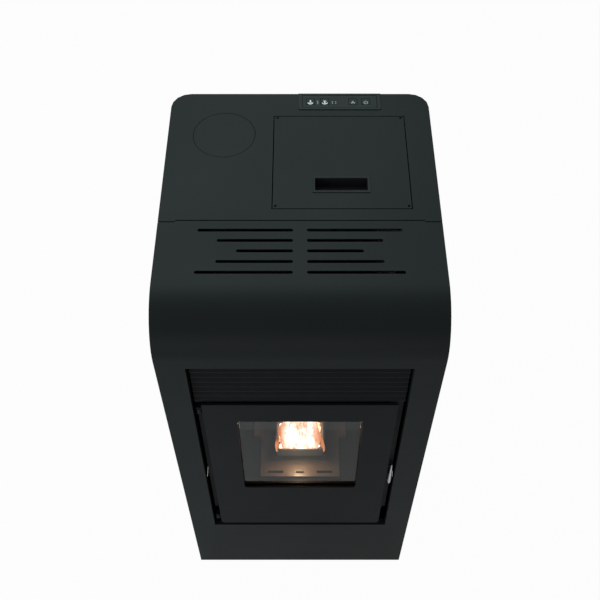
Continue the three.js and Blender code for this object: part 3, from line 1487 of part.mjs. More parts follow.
addPart('exhaust_housing', exhaustHousing(), 'aluminium');
addPart('exhaust_impeller', exhaustImpeller(), 'zinc');
addPart('exhaust_motor', exhaustMotor(), 'blackSteel');
addPart('flue_socket', flueSocket(), 'zinc');
addPart('air_inlet_pipe', airInletPipe(), 'zinc');
addPart('room_fan_housing', roomFanHousing(), 'zinc');
addPart('room_fan_rotor', roomFanRotor(), 'zinc');

addPart('control_board', controlBoard(), 'board');
addPart('power_inlet', powerInlet(), 'blackPlastic');
const rockerMesh = addPart('power_rocker', rocker(), 'blackPlastic');
rockerMesh.position.set(switchX, backPanelRear - rockerSetBack, inletZ);
rockerMesh.rotation.x = THREE.MathUtils.degToRad(switchTilt);

export default stove;
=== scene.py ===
import bmesh
import bpy
import json
import math
import random
from mathutils import Matrix, Vector


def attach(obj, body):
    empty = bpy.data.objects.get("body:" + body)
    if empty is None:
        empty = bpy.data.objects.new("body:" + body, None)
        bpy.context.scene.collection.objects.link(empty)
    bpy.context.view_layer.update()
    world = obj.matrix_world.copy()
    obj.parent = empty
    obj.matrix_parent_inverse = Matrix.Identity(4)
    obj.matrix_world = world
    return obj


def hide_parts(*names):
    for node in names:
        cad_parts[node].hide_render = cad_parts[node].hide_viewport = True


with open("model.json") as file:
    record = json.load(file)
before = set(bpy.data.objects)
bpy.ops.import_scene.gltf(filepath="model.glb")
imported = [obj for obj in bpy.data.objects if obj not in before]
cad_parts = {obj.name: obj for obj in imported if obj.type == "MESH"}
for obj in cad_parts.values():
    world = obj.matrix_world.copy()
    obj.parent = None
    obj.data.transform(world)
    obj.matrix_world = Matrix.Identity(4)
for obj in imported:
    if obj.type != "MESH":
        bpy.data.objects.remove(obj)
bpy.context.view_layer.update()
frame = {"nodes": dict(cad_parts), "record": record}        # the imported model: casing, door, hopper, fans and the rest
nodes = frame["nodes"]
mm = 0.001

print("frame loaded:", len(nodes), "nodes")

# camera: above the stove's front, looking down on its top
cameraSetup = {
    "place": (0.0, -1.0149, 2.0940),
    "tilt": 35.82,       # degrees from straight down
    "lens": 54.97,
    "sensor": 36.0,
}


def makeCamera(setup):
    camera = bpy.data.cameras.new("viewCamera")
    camera.lens = setup["lens"]
    camera.sensor_width = setup["sensor"]
    camera.clip_end = 30.0
    holder = bpy.data.objects.new("viewCamera", camera)
    holder.location = setup["place"]
    holder.rotation_euler = (math.radians(setup["tilt"]), 0.0, 0.0)
    bpy.context.scene.collection.objects.link(holder)
    bpy.context.scene.camera = holder


makeCamera(cameraSetup)
bpy.context.scene.view_settings.view_transform = "Standard"

# soft lamps: place, aim, size in metres and power in watts
studioLamps = {
    "topSoft": {"place": (-0.5, 1.4, 3.2), "aim": (0.0, 0.0, 0.9), "size": (2.6, 2.0), "power": 57.0,
                "color": (0.78, 1.0, 0.98)},
    "leftSoft": {"place": (-2.6, -1.2, 1.3), "aim": (0.0, 0.0, 0.5), "size": (1.6, 2.2), "power": 34.0,
                 "color": (0.72, 1.0, 0.98)},
    "frontLow": {"place": (-0.4, -3.0, 0.7), "aim": (0.0, 0.0, 0.5), "size": (2.4, 1.2), "power": 14.0,
                 "color": (0.96, 0.95, 1.0)},
}
studioSetup = {
    "worldColor": (1.0, 1.0, 1.0, 1.0),
    "worldPower": 0.26,
    "floorColor": (0.55, 0.55, 0.55, 1.0),
    "floorSize": 9.0,
    "floorWhite": 0.985,      # share of plain white that the camera sees on the floor
    "mirrorWhite": 0.27,      # the same for mirror rays
    "whiteTone": (0.988, 0.988, 0.988, 1.0),
}


def makeLamp(name, setup):
    lamp = bpy.data.lights.new(name, "AREA")
    lamp.shape = "RECTANGLE"
    lamp.size, lamp.size_y = setup["size"]
    lamp.energy = setup["power"]
    lamp.color = setup["color"]
    holder = bpy.data.objects.new(name, lamp)
    holder.location = setup["place"]
    heading = Vector(setup["aim"]) - Vector(setup["place"])
    holder.rotation_euler = heading.to_track_quat("-Z", "Y").to_euler()
    bpy.context.scene.collection.objects.link(holder)


def makeWorld(setup):
    world = bpy.data.worlds.new("studioWorld")
    world.use_nodes = True
    tree = world.node_tree
    tree.nodes.clear()
    output = tree.nodes.new("ShaderNodeOutputWorld")
    soft = tree.nodes.new("ShaderNodeBackground")
    soft.inputs["Color"].default_value = setup["worldColor"]
    soft.inputs["Strength"].default_value = setup["worldPower"]
    white = tree.nodes.new("ShaderNodeBackground")
    white.inputs["Color"].default_value = setup["whiteTone"]
    white.inputs["Strength"].default_value = 1.0
    rays = tree.nodes.new("ShaderNodeLightPath")
    mix = tree.nodes.new("ShaderNodeMixShader")
    tree.links.new(rays.outputs["Is Camera Ray"], mix.inputs["Fac"])
    tree.links.new(soft.outputs[0], mix.inputs[1])
    tree.links.new(white.outputs[0], mix.inputs[2])
    tree.links.new(mix.outputs[0], output.inputs["Surface"])
    bpy.context.scene.world = world


def makeFloor(setup):
    ground = bmesh.new()
    bmesh.ops.create_grid(ground, x_segments=2, y_segments=2, size=setup["floorSize"])
    mesh = bpy.data.meshes.new("studioFloor")
    ground.to_mesh(mesh)
    ground.free()
    floor = bpy.data.objects.new("studioFloor", mesh)
    floor.location.z = -0.0005
    bpy.context.scene.collection.objects.link(floor)
    material = bpy.data.materials.new("floorPaper")
    material.use_nodes = True
    tree = material.node_tree
    shader = tree.nodes["Principled BSDF"]
    shader.inputs["Base Color"].default_value = setup["floorColor"]
    shader.inputs["Roughness"].default_value = 0.9
    glow = tree.nodes.new("ShaderNodeEmission")
    glow.inputs["Color"].default_value = setup["whiteTone"]
    rays = tree.nodes.new("ShaderNodeLightPath")
    seen = tree.nodes.new("ShaderNodeMath")
    seen.operation = "MULTIPLY"
    seen.inputs[1].default_value = setup["floorWhite"]
    tree.links.new(rays.outputs["Is Camera Ray"], seen.inputs[0])
    mirrored = tree.nodes.new("ShaderNodeMath")
    mirrored.operation = "MULTIPLY"
    mirrored.inputs[1].default_value = setup["mirrorWhite"]
    tree.links.new(rays.outputs["Is Glossy Ray"], mirrored.inputs[0])
    share = tree.nodes.new("ShaderNodeMath")
    share.operation = "MAXIMUM"
    tree.links.new(seen.outputs[0], share.inputs[0])
    tree.links.new(mirrored.outputs[0], share.inputs[1])
    mix = tree.nodes.new("ShaderNodeMixShader")
    tree.links.new(share.outputs[0], mix.inputs["Fac"])
    tree.links.new(shader.outputs[0], mix.inputs[1])
    tree.links.new(glow.outputs[0], mix.inputs[2])
    tree.links.new(mix.outputs[0], tree.nodes["Material Output"].inputs["Surface"])
    mesh.materials.append(material)


makeWorld(studioSetup)
makeFloor(studioSetup)
for lampName, lampSetup in studioLamps.items():
    makeLamp(lampName, lampSetup)
print("camera, floor and lamps made")

# ---- shared effects


def newGroup(name, inputs, outputs):
    group = bpy.data.node_groups.new(name, "ShaderNodeTree")
    for label, kind, value in inputs:
        socket = group.interface.new_socket(label, in_out="INPUT", socket_type=kind)
        if value is not None:
            socket.default_value = value
    for label, kind in outputs:
        group.interface.new_socket(label, in_out="OUTPUT", socket_type=kind)
    return group, group.nodes.new("NodeGroupInput"), group.nodes.new("NodeGroupOutput")


def addNoise(tree, vector, scale, detail=3.0, roughness=0.55):
    texture = tree.nodes.new("ShaderNodeTexNoise")
    texture.inputs["Scale"].default_value = scale
    texture.inputs["Detail"].default_value = detail
    texture.inputs["Roughness"].default_value = roughness
    tree.links.new(vector, texture.inputs["Vector"])
    return texture


def addRange(tree, value, low, high, toLow, toHigh):
    remap = tree.nodes.new("ShaderNodeMapRange")
    for label, number in (("From Min", low), ("From Max", high), ("To Min", toLow), ("To Max", toHigh)):
        remap.inputs[label].default_value = number
    tree.links.new(value, remap.inputs["Value"])
    return remap.outputs["Result"]


def addColorMix(tree, factor, first, second):
    mix = tree.nodes.new("ShaderNodeMix")
    mix.data_type = "RGBA"
    mix.blend_type = "MIX"
    for socket, value in ((mix.inputs[0], factor), (mix.inputs[6], first), (mix.inputs[7], second)):
        if isinstance(value, bpy.types.NodeSocket):
            tree.links.new(value, socket)
        else:
            socket.default_value = value
    return mix.outputs[2]


# grain of a sprayed or cast surface: a fine bump, and a slow drift that shades it
def buildGrainGroup():
    group, start, end = newGroup(
        "surfaceGrain",
        [("Vector", "NodeSocketVector", None), ("Fine Scale", "NodeSocketFloat", 900.0),
         ("Drift Scale", "NodeSocketFloat", 9.0)],
        [("Height", "NodeSocketFloat"), ("Drift", "NodeSocketFloat")],
    )
    fine = addNoise(group, start.outputs["Vector"], 900.0, 2.0, 0.6)
    group.links.new(start.outputs["Fine Scale"], fine.inputs["Scale"])
    drift = addNoise(group, start.outputs["Vector"], 9.0, 4.0, 0.5)
    group.links.new(start.outputs["Drift Scale"], drift.inputs["Scale"])
    group.links.new(fine.outputs["Fac"], end.inputs["Height"])
    group.links.new(drift.outputs["Fac"], end.inputs["Drift"])
    return group


# ash or dust that settles on faces that look up
def buildDustGroup():
    group, start, end = newGroup(
        "settledDust",
        [("Vector", "NodeSocketVector", None), ("Amount", "NodeSocketFloat", 0.3)],
        [("Mask", "NodeSocketFloat")],
    )
    surface = group.nodes.new("ShaderNodeNewGeometry")
    split = group.nodes.new("ShaderNodeSeparateXYZ")
    group.links.new(surface.outputs["Normal"], split.inputs[0])
    facingUp = addRange(group, split.outputs["Z"], 0.3, 1.0, 0.0, 1.0)
    patches = addNoise(group, start.outputs["Vector"], 55.0, 5.0, 0.65)
    clouds = addRange(group, patches.outputs["Fac"], 0.35, 0.7, 0.0, 1.0)
    both = group.nodes.new("ShaderNodeMath")
    both.operation = "MULTIPLY"
    group.links.new(facingUp, both.inputs[0])
    group.links.new(clouds, both.inputs[1])
    scaled = group.nodes.new("ShaderNodeMath")
    scaled.operation = "MULTIPLY"
    group.links.new(both.outputs[0], scaled.inputs[0])
    group.links.new(start.outputs["Amount"], scaled.inputs[1])
    group.links.new(scaled.outputs[0], end.inputs["Mask"])
    return group


grainGroup = buildGrainGroup()
dustGroup = buildDustGroup()

# ---- materials: a tone pair that drifts, a roughness pair, a fine bump and a little dust


def newMaterial(name):
    material = bpy.data.materials.new(name)
    material.use_nodes = True
    tree = material.node_tree
    coords = tree.nodes.new("ShaderNodeTexCoord")
    return material, tree, tree.nodes["Principled BSDF"], coords.outputs["Object"]


def addGroup(tree, group, vector, values):
    node = tree.nodes.new("ShaderNodeGroup")
    node.node_tree = group
    tree.links.new(vector, node.inputs["Vector"])
    for label, value in values.items():
        node.inputs[label].default_value = value
    return node


def addBump(tree, shader, height, strength, distance):
    bump = tree.nodes.new("ShaderNodeBump")
    bump.inputs["Strength"].default_value = strength
    bump.inputs["Distance"].default_value = distance
    tree.links.new(height, bump.inputs["Height"])
    tree.links.new(bump.outputs["Normal"], shader.inputs["Normal"])


def finishMaterial(name, setup):
    material, tree, shader, place = newMaterial(name)
    grain = addGroup(tree, grainGroup, place, {"Fine Scale": setup["fine"], "Drift Scale": setup["drift"]})
    tone = addColorMix(tree, grain.outputs["Drift"], setup["dark"], setup["light"])
    if "dust" in setup:
        dust = addGroup(tree, dustGroup, place, {"Amount": setup["dust"]})
        tone = addColorMix(tree, dust.outputs["Mask"], tone, setup["dustColor"])
    tree.links.new(tone, shader.inputs["Base Color"])
    low, high = setup["rough"]
    gloss = addRange(tree, grain.outputs["Drift"], 0.3, 0.7, low, high)
    tree.links.new(gloss, shader.inputs["Roughness"])
    shader.inputs["Metallic"].default_value = setup.get("metal", 0.0)
    shader.inputs["Specular IOR Level"].default_value = setup.get("specular", 0.5)
    addBump(tree, shader, grain.outputs["Height"], setup["bump"], setup["bumpDepth"])
    return material


def rgb(red, green, blue):
    return (red, green, blue, 1.0)


finishes = {
    "casingPaint": {
        "dark": rgb(0.0120, 0.0138, 0.0140), "light": rgb(0.0138, 0.0158, 0.0160),
        "rough": (0.44, 0.50), "specular": 0.10,
        "fine": 1300.0, "drift": 6.0, "bump": 0.35, "bumpDepth": 0.0002,
    },
    "doorPaint": {
        "dark": rgb(0.0094, 0.0104, 0.0116), "light": rgb(0.0110, 0.0120, 0.0132),
        "rough": (0.44, 0.52), "specular": 0.065,
        "fine": 1300.0, "drift": 6.0, "bump": 0.35, "bumpDepth": 0.0002,
    },
    "blackSteel": {
        "dark": rgb(0.0060, 0.0063, 0.0075), "light": rgb(0.0085, 0.0088, 0.0100),
        "rough": (0.5, 0.62), "specular": 0.15,
        "fine": 700.0, "drift": 14.0, "bump": 0.3, "bumpDepth": 0.0002, "dust": 0.05,
        "dustColor": rgb(0.10, 0.095, 0.09),
    },
    "stovePaint": {
        "dark": rgb(0.008, 0.008, 0.0085), "light": rgb(0.013, 0.013, 0.0135),
        "rough": (0.62, 0.75), "specular": 0.2,
        "fine": 420.0, "drift": 18.0, "bump": 0.45, "bumpDepth": 0.0003, "dust": 0.12,
        "dustColor": rgb(0.14, 0.13, 0.12),
    },
    "castIron": {
        "dark": rgb(0.075, 0.075, 0.078), "light": rgb(0.115, 0.115, 0.118), "rough": (0.55, 0.7),
        "fine": 520.0, "drift": 30.0, "bump": 0.6, "bumpDepth": 0.0004, "metal": 0.35, "dust": 0.25,
        "dustColor": rgb(0.24, 0.22, 0.21),
    },
    "warmedSteel": {
        "dark": rgb(0.110, 0.090, 0.080), "light": rgb(0.150, 0.125, 0.112), "rough": (0.5, 0.65),
        "fine": 480.0, "drift": 26.0, "bump": 0.4, "bumpDepth": 0.0003, "dust": 0.22,
        "dustColor": rgb(0.20, 0.17, 0.15),
    },
    "liningPlate": {
        "dark": rgb(0.060, 0.055, 0.050), "light": rgb(0.115, 0.105, 0.096), "rough": (0.75, 0.9),
        "fine": 300.0, "drift": 16.0, "bump": 0.7, "bumpDepth": 0.0006,
    },
    "aluminium": {
        "dark": rgb(0.42, 0.42, 0.43), "light": rgb(0.56, 0.56, 0.57), "rough": (0.35, 0.5),
        "fine": 600.0, "drift": 24.0, "bump": 0.25, "bumpDepth": 0.0003, "metal": 0.9,
    },
    "blackPlastic": {
        "dark": rgb(0.010, 0.010, 0.011), "light": rgb(0.015, 0.015, 0.016), "rough": (0.38, 0.5),
        "fine": 1500.0, "drift": 40.0, "bump": 0.2, "bumpDepth": 0.0001,
    },
    "rubber": {
        "dark": rgb(0.011, 0.011, 0.011), "light": rgb(0.019, 0.019, 0.019), "rough": (0.75, 0.88),
        "fine": 800.0, "drift": 50.0, "bump": 0.4, "bumpDepth": 0.0002,
    },
    "boardFibre": {
        "dark": rgb(0.012, 0.085, 0.035), "light": rgb(0.018, 0.120, 0.050), "rough": (0.32, 0.42),
        "fine": 900.0, "drift": 60.0, "bump": 0.15, "bumpDepth": 0.0001,
    },
    "panelFoil": {
        "dark": rgb(0.0112, 0.0134, 0.0136), "light": rgb(0.0128, 0.0152, 0.0154),
        "rough": (0.30, 0.36), "specular": 0.10,
        "fine": 1500.0, "drift": 20.0, "bump": 0.1, "bumpDepth": 0.0001,
    },
    "gripShade": {
        "dark": rgb(0.020, 0.017, 0.021), "light": rgb(0.026, 0.022, 0.027),
        "rough": (0.5, 0.6), "specular": 0.15,
        "fine": 900.0, "drift": 20.0, "bump": 0.25, "bumpDepth": 0.0002,
    },
    "woodPellet": {
        "dark": rgb(0.36, 0.22, 0.11), "light": rgb(0.58, 0.40, 0.23), "rough": (0.7, 0.85),
        "fine": 900.0, "drift": 120.0, "bump": 0.8, "bumpDepth": 0.0004,
    },
    # near-black: black plugs, darkened further as painted shade of a screw recess
    "screwBlackAndShade": {
        "dark": rgb(0.0022, 0.0024, 0.0026), "light": rgb(0.0034, 0.0036, 0.0038),
        "rough": (0.6, 0.7), "specular": 0.05,
        "fine": 900.0, "drift": 40.0, "bump": 0.2, "bumpDepth": 0.0001,
    },
    "symbolGrey": {
        "dark": rgb(0.42, 0.44, 0.45), "light": rgb(0.50, 0.52, 0.53), "rough": (0.45, 0.55),
        "fine": 900.0, "drift": 60.0, "bump": 0.1, "bumpDepth": 0.0001,
    },
    "symbolInk": {
        "dark": rgb(0.80, 0.82, 0.83), "light": rgb(0.90, 0.92, 0.93), "rough": (0.45, 0.55),
        "fine": 900.0, "drift": 60.0, "bump": 0.1, "bumpDepth": 0.0001,
    },
}
materials = {name: finishMaterial(name, setup) for name, setup in finishes.items()}


# zinc flakes: flat cells of slightly different grey
def makeGalvanised():
    material, tree, shader, place = newMaterial("galvanised")
    cells = tree.nodes.new("ShaderNodeTexVoronoi")
    cells.inputs["Scale"].default_value = 110.0
    tree.links.new(place, cells.inputs["Vector"])
    split = tree.nodes.new("ShaderNodeSeparateColor")
    tree.links.new(cells.outputs["Color"], split.inputs[0])
    flake = split.outputs["Red"]
    tone = addColorMix(tree, flake, rgb(0.40, 0.41, 0.42), rgb(0.48, 0.49, 0.50))
    tree.links.new(tone, shader.inputs["Base Color"])
    tree.links.new(addRange(tree, flake, 0.0, 1.0, 0.36, 0.46), shader.inputs["Roughness"])
    shader.inputs["Metallic"].default_value = 0.95
    addBump(tree, shader, flake, 0.12, 0.0003)
    return material


def makeChrome():
    material, tree, shader, place = newMaterial("chrome")
    shader.inputs["Base Color"].default_value = rgb(0.70, 0.705, 0.72)
    shader.inputs["Metallic"].default_value = 0.7
    smears = addNoise(tree, place, 60.0, 4.0, 0.6)
    tree.links.new(addRange(tree, smears.outputs["Fac"], 0.35, 0.7, 0.12, 0.24), shader.inputs["Roughness"])
    return material


# window pane: clear, with a soft grey sheen
def makeGlass(name, ior, tint):
    material, tree, shader, place = newMaterial(name)
    tree.nodes.remove(shader)
    clear = tree.nodes.new("ShaderNodeBsdfTransparent")
    clear.inputs["Color"].default_value = tint
    sheen = tree.nodes.new("ShaderNodeBsdfGlossy")
    sheen.inputs["Color"].default_value = rgb(0.80, 0.81, 0.83)
    film = addNoise(tree, place, 14.0, 3.0, 0.5)
    tree.links.new(addRange(tree, film.outputs["Fac"], 0.3, 0.7, 0.05, 0.12), sheen.inputs["Roughness"])
    edge = tree.nodes.new("ShaderNodeFresnel")
    edge.inputs["IOR"].default_value = ior
    surface = tree.nodes.new("ShaderNodeNewGeometry")
    outer = tree.nodes.new("ShaderNodeMath")
    outer.operation = "SUBTRACT"
    outer.inputs[0].default_value = 1.0
    tree.links.new(surface.outputs["Backfacing"], outer.inputs[1])
    share = tree.nodes.new("ShaderNodeMath")
    share.operation = "MULTIPLY"
    tree.links.new(edge.outputs[0], share.inputs[0])
    tree.links.new(outer.outputs[0], share.inputs[1])
    mix = tree.nodes.new("ShaderNodeMixShader")
    tree.links.new(share.outputs[0], mix.inputs["Fac"])
    tree.links.new(clear.outputs[0], mix.inputs[1])
    tree.links.new(sheen.outputs[0], mix.inputs[2])
    tree.links.new(mix.outputs[0], tree.nodes["Material Output"].inputs["Surface"])
    return material


# the grip's rim has the lid's paint; below it the recess keeps the gripShade tone, a painted shade with a
# purplish tint; rimLevel is the rim's height in metres
def makeGripPaintAndShade(setup, rimLevel):
    material = finishMaterial("gripPaintAndShade", setup)
    tree = material.node_tree
    shader = tree.nodes["Principled BSDF"]
    inner = shader.inputs["Base Color"].links[0].from_socket
    coords = tree.nodes.new("ShaderNodeTexCoord")
    axes = tree.nodes.new("ShaderNodeSeparateXYZ")
    tree.links.new(coords.outputs["Object"], axes.inputs[0])
    rim = addRange(tree, axes.outputs["Z"], rimLevel - 0.0016, rimLevel - 0.0012, 0.0, 1.0)
    # below the rim the gripShade tone stays: painted shade of the recess
    tone = addColorMix(tree, rim, inner, finishes["casingPaint"]["light"])
    tree.links.new(tone, shader.inputs["Base Color"])
    return material


# braided glass rope: slanted ridges that cross
def makeRope():
    material, tree, shader, place = newMaterial("sealRope")
    ridges = []
    for turn in (0.8, -0.8):
        turned = tree.nodes.new("ShaderNodeMapping")
        turned.inputs["Rotation"].default_value = (turn, turn, 0.0)
        tree.links.new(place, turned.inputs["Vector"])
        wave = tree.nodes.new("ShaderNodeTexWave")
        wave.inputs["Scale"].default_value = 260.0
        tree.links.new(turned.outputs[0], wave.inputs["Vector"])
        ridges.append(wave.outputs["Fac"])
    braid = tree.nodes.new("ShaderNodeMath")
    braid.operation = "MULTIPLY"
    tree.links.new(ridges[0], braid.inputs[0])
    tree.links.new(ridges[1], braid.inputs[1])
    tone = addColorMix(tree, braid.outputs[0], rgb(0.06, 0.058, 0.054), rgb(0.20, 0.19, 0.18))
    tree.links.new(tone, shader.inputs["Base Color"])
    shader.inputs["Roughness"].default_value = 0.9
    addBump(tree, shader, braid.outputs[0], 0.7, 0.0006)
    return material


materials["galvanised"] = makeGalvanised()
materials["chrome"] = makeChrome()
materials["windowGlass"] = makeGlass("windowGlass", 1.52, rgb(0.90, 0.90, 0.90))
materials["stripGlass"] = makeGlass("stripGlass", 1.25, rgb(0.97, 0.95, 0.93))
rimLevel = max(vertex.co.z for vertex in nodes["lid_grip"].data.vertices)
materials["gripPaintAndShade"] = makeGripPaintAndShade(finishes["gripShade"], rimLevel)
materials["sealRope"] = makeRope()
print("materials made:", len(materials))

# finish of each node that keeps its own mesh, and of the pieces made from one
nodeFinish = {
    "casingPaint": ["front_casing", "side_panel_left", "side_panel_right", "top_plate", "hopper_lid",
                    "knockout_disc"],
    "gripPaintAndShade": ["lid_grip"],
    "doorPaint": ["door_panel", "door_frame"],
    "blackSteel": ["lid_hinge_left", "lid_hinge_right", "front_surround", "hinge_bracket_lower",
                   "hinge_bracket_upper", "glass_retainer", "latch_keeper", "power_rocker", "ash_drawer",
                   "base_plate"],
    "stovePaint": ["hearth_plate", "firebox", "firebox_stand", "heat_exchanger", "smoke_duct",
                   "pellet_chute"],
    "castIron": ["burn_pot", "latch_cam"],
    "warmedSteel": ["pot_surround"],
    "liningPlate": ["lining_plate"],
    "galvanised": ["back_panel", "hopper_bin", "hopper_grate", "auger_tube",
                   "exhaust_housing", "room_fan_housing", "flue_socket", "air_inlet_pipe"],
    "aluminium": ["auger_gearmotor", "exhaust_motor", "exhaust_impeller", "room_fan_rotor", "igniter",
                  "auger_screw"],
    "blackPlastic": ["power_inlet"],
    "panelFoil": ["control_bezel", "control_fascia", "key_less", "key_more", "key_menu", "key_power"],
    "windowGlass": ["door_glass"],
    "stripGlass": ["air_deflector"],
    "chrome": ["door_lever"],
    "sealRope": ["door_seal"],
    "rubber": ["lid_seal", "foot_front_left", "foot_front_right", "foot_rear_left", "foot_rear_right"],
    "boardFibre": ["control_board"],
}
finishOf = {}
for finishName, nodeNames in nodeFinish.items():
    for nodeName in nodeNames:
        finishOf[nodeName] = materials[finishName]

# ---- pieces made from a node's own form, with softened edges


def nodeForm(nodeName):
    form = bmesh.new()
    form.from_mesh(nodes[nodeName].data)
    bmesh.ops.remove_doubles(form, verts=form.verts, dist=0.00001)
    flat = [edge for edge in form.edges if len(edge.link_faces) == 2]
    bmesh.ops.dissolve_limit(form, angle_limit=math.radians(0.6), verts=form.verts, edges=flat)
    bmesh.ops.recalc_face_normals(form, faces=form.faces)
    return form


softCorner = {"sharpAngle": 28.0, "segments": 2}


def softenEdges(form, width):
    sharp = math.radians(softCorner["sharpAngle"])
    corners = [edge for edge in form.edges
               if len(edge.link_faces) == 2 and edge.calc_face_angle(0.0) >= sharp]
    if corners:
        bmesh.ops.bevel(form, geom=corners, offset=width, segments=softCorner["segments"], profile=0.5,
                        affect="EDGES", clamp_overlap=True, material=-1)


def makePiece(name, form, body, material, stands=()):
    mesh = bpy.data.meshes.new(name)
    form.to_mesh(mesh)
    form.free()
    mesh.polygons.foreach_set("use_smooth", [True] * len(mesh.polygons))
    mesh.set_sharp_from_angle(angle=math.radians(35.0))
    piece = bpy.data.objects.new(name, mesh)
    bpy.context.scene.collection.objects.link(piece)
    mesh.materials.append(material)
    even = piece.modifiers.new("evenShade", "WEIGHTED_NORMAL")
    even.keep_sharp = True
    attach(piece, body)
    if stands:
        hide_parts(*stands)
    return piece


bodyMembers = frame["record"]["behaviour"]["bodies"]
nodeBody = {node: body for body, members in bodyMembers.items() for node in members}

# nodes that show as pieces with softened edges: edge width in mm
softened = {
    "front_casing": 0.7, "side_panel_left": 0.5, "side_panel_right": 0.5, "top_plate": 0.35,
    "knockout_disc": 0.4, "hopper_lid": 0.5, "lid_grip": 0.4, "control_bezel": 0.5, "control_fascia": 0.25,
    "key_less": 0.35, "key_more": 0.35, "key_menu": 0.35, "key_power": 0.35,
    "back_panel": 0.3, "door_panel": 0.5, "door_frame": 0.8, "front_surround": 0.4,
    "glass_retainer": 0.3, "air_deflector": 0.3, "hinge_bracket_lower": 0.6, "hinge_bracket_upper": 0.6,
    "latch_keeper": 0.4, "latch_cam": 0.5, "pot_surround": 0.9, "burn_pot": 0.6, "hearth_plate": 0.6,
    "lining_plate": 1.2, "ash_drawer": 0.3, "flue_socket": 0.3, "air_inlet_pipe": 0.3,
    "power_inlet": 0.4, "power_rocker": 0.5,
}


def dressNodes(widths):
    for nodeName, width in widths.items():
        form = nodeForm(nodeName)
        softenEdges(form, width * mm)
        makePiece(nodeName + "_skin", form, nodeBody[nodeName], finishOf[nodeName],
                  stands=(nodeName,))
        print("dressed", nodeName)


dressNodes(softened)

for nodeName, node in nodes.items():
    if nodeName in softened:
        continue
    node.data.materials.clear()
    node.data.materials.append(finishOf[nodeName])
    node.data.polygons.foreach_set("use_smooth", [True] * len(node.data.polygons))
    node.data.set_sharp_from_angle(angle=math.radians(35.0))
print("plain nodes finished")


# ---- small shapes used by several pieces


def addBlock(form, centre, halves):
    made = bmesh.ops.create_cube(form, size=2.0)["verts"]
    bmesh.ops.scale(form, vec=Vector(halves) * mm, verts=made)
    bmesh.ops.translate(form, vec=Vector(centre) * mm, verts=made)
    return made


def addRod(form, start, end, radius, segments=16):
    a, b = Vector(start) * mm, Vector(end) * mm
    heading = b - a
    turn = heading.to_track_quat("Z", "Y").to_matrix()
    made = bmesh.ops.create_cone(
        form, cap_ends=True, segments=segments, radius1=radius * mm, radius2=radius * mm,
        depth=heading.length)["verts"]
    bmesh.ops.rotate(form, cent=(0, 0, 0), matrix=turn, verts=made)
    bmesh.ops.translate(form, vec=(a + b) / 2, verts=made)
    return made


arcSteps = 20


# part of a flat ring, seen from above
def addArc(form, centre, inner, outer, startAngle, endAngle, height):
    x, y, z = centre
    rows = []
    for step in range(arcSteps + 1):
        angle = math.radians(startAngle + (endAngle - startAngle) * step / arcSteps)
        row = []
        for radius, level in ((inner, z), (outer, z), (outer, z + height), (inner, z + height)):
            place = (x + radius * math.cos(angle), y + radius * math.sin(angle), level)
            row.append(form.verts.new(Vector(place) * mm))
        rows.append(row)
    for a, b in zip(rows, rows[1:]):
        for side in range(4):
            other = (side + 1) % 4
            form.faces.new((a[side], b[side], b[other], a[other]))
    form.faces.new(rows[0])
    form.faces.new(rows[-1][::-1])


# ---- symbols on the control panel

symbolSetup = {"top": 969.6, "height": 0.12, "line": 0.55, "ring": 4.6}


def symbolBar(form, x, y, halfX, halfY):
    half = symbolSetup["height"] / 2
    addBlock(form, (x, y, symbolSetup["top"] + half), (halfX, halfY, half))


def symbolArc(form, x, y, radius, startAngle=0.0, endAngle=360.0, line=None):
    width = (line or symbolSetup["line"]) / 2
    addArc(form, (x, y, symbolSetup["top"]), radius - width, radius + width, startAngle, endAngle,
           symbolSetup["height"])


# a solid arrow over an open tray; way is 1 for up and -1 for down
def arrowSymbol(form, x, y, way):
    symbolBar(form, x, y + 1.6 - way * 0.6, 1.1, 3.6)
    for step in range(4):
        symbolBar(form, x, y + 1.6 + way * (1.6 + step * 0.7), 3.2 - step * 0.8, 0.36)
    symbolArc(form, x, y + 0.6, symbolSetup["ring"], 195.0, 345.0, 1.6)


def lessSymbol(form, x, y):
    arrowSymbol(form, x, y, -1)


def moreSymbol(form, x, y):
    arrowSymbol(form, x, y, 1)


def fanSymbol(form, x, y):
    symbolArc(form, x, y, 0.7, line=1.0)
    for blade in range(3):
        angle = math.radians(blade * 120 + 90)
        symbolArc(form, x + 2.1 * math.cos(angle), y + 2.1 * math.sin(angle), 1.3,
                  blade * 120, blade * 120 + 220, 0.8)


def powerSymbol(form, x, y):
    symbolArc(form, x, y, 3.4, 125.0, 415.0, 0.9)
    symbolBar(form, x, y + 2.6, 0.45, 2.2)


keySymbols = {
    "key_less": (18.7, lessSymbol, "symbolInk"), "key_more": (44.5, moreSymbol, "symbolInk"),
    "key_menu": (95.0, fanSymbol, "symbolGrey"), "key_power": (118.0, powerSymbol, "symbolGrey"),
}
symbolRow = 233.2
for keyName, (keyX, drawSymbol, ink) in keySymbols.items():
    keyForm = bmesh.new()
    drawSymbol(keyForm, keyX, symbolRow)
    bmesh.ops.recalc_face_normals(keyForm, faces=keyForm.faces)
    makePiece(keyName + "_symbol", keyForm, nodeBody[keyName], materials[ink])

panelForm = bmesh.new()
for row in (-1, 0, 1):
    symbolBar(panelForm, 31.6, symbolRow + row * 3.2, 1.2, 0.5)
for column in (58.0, 64.0):
    for row in (-1, 1):
        symbolBar(panelForm, column, symbolRow + row * 2.0, 1.0, 0.6)
bmesh.ops.recalc_face_normals(panelForm, faces=panelForm.faces)
makePiece("panel_symbols", panelForm, "root", materials["symbolGrey"])
print("control symbols made")

# ---- screws: a domed head with a cross cut, on the rear panel and on the hopper lid

rearScrews = {
    "radius": 3.6, "height": 1.6, "rearY": 254.5,
    "places": [(x, z) for x in (-186.0, 186.0) for z in (30.0, 250.0, 470.0, 690.0, 910.0)]
    + [(x, z) for x in (-95.0, 95.0) for z in (925.0,)] + [(-20.0, 28.0), (-150.0, 28.0)],
}


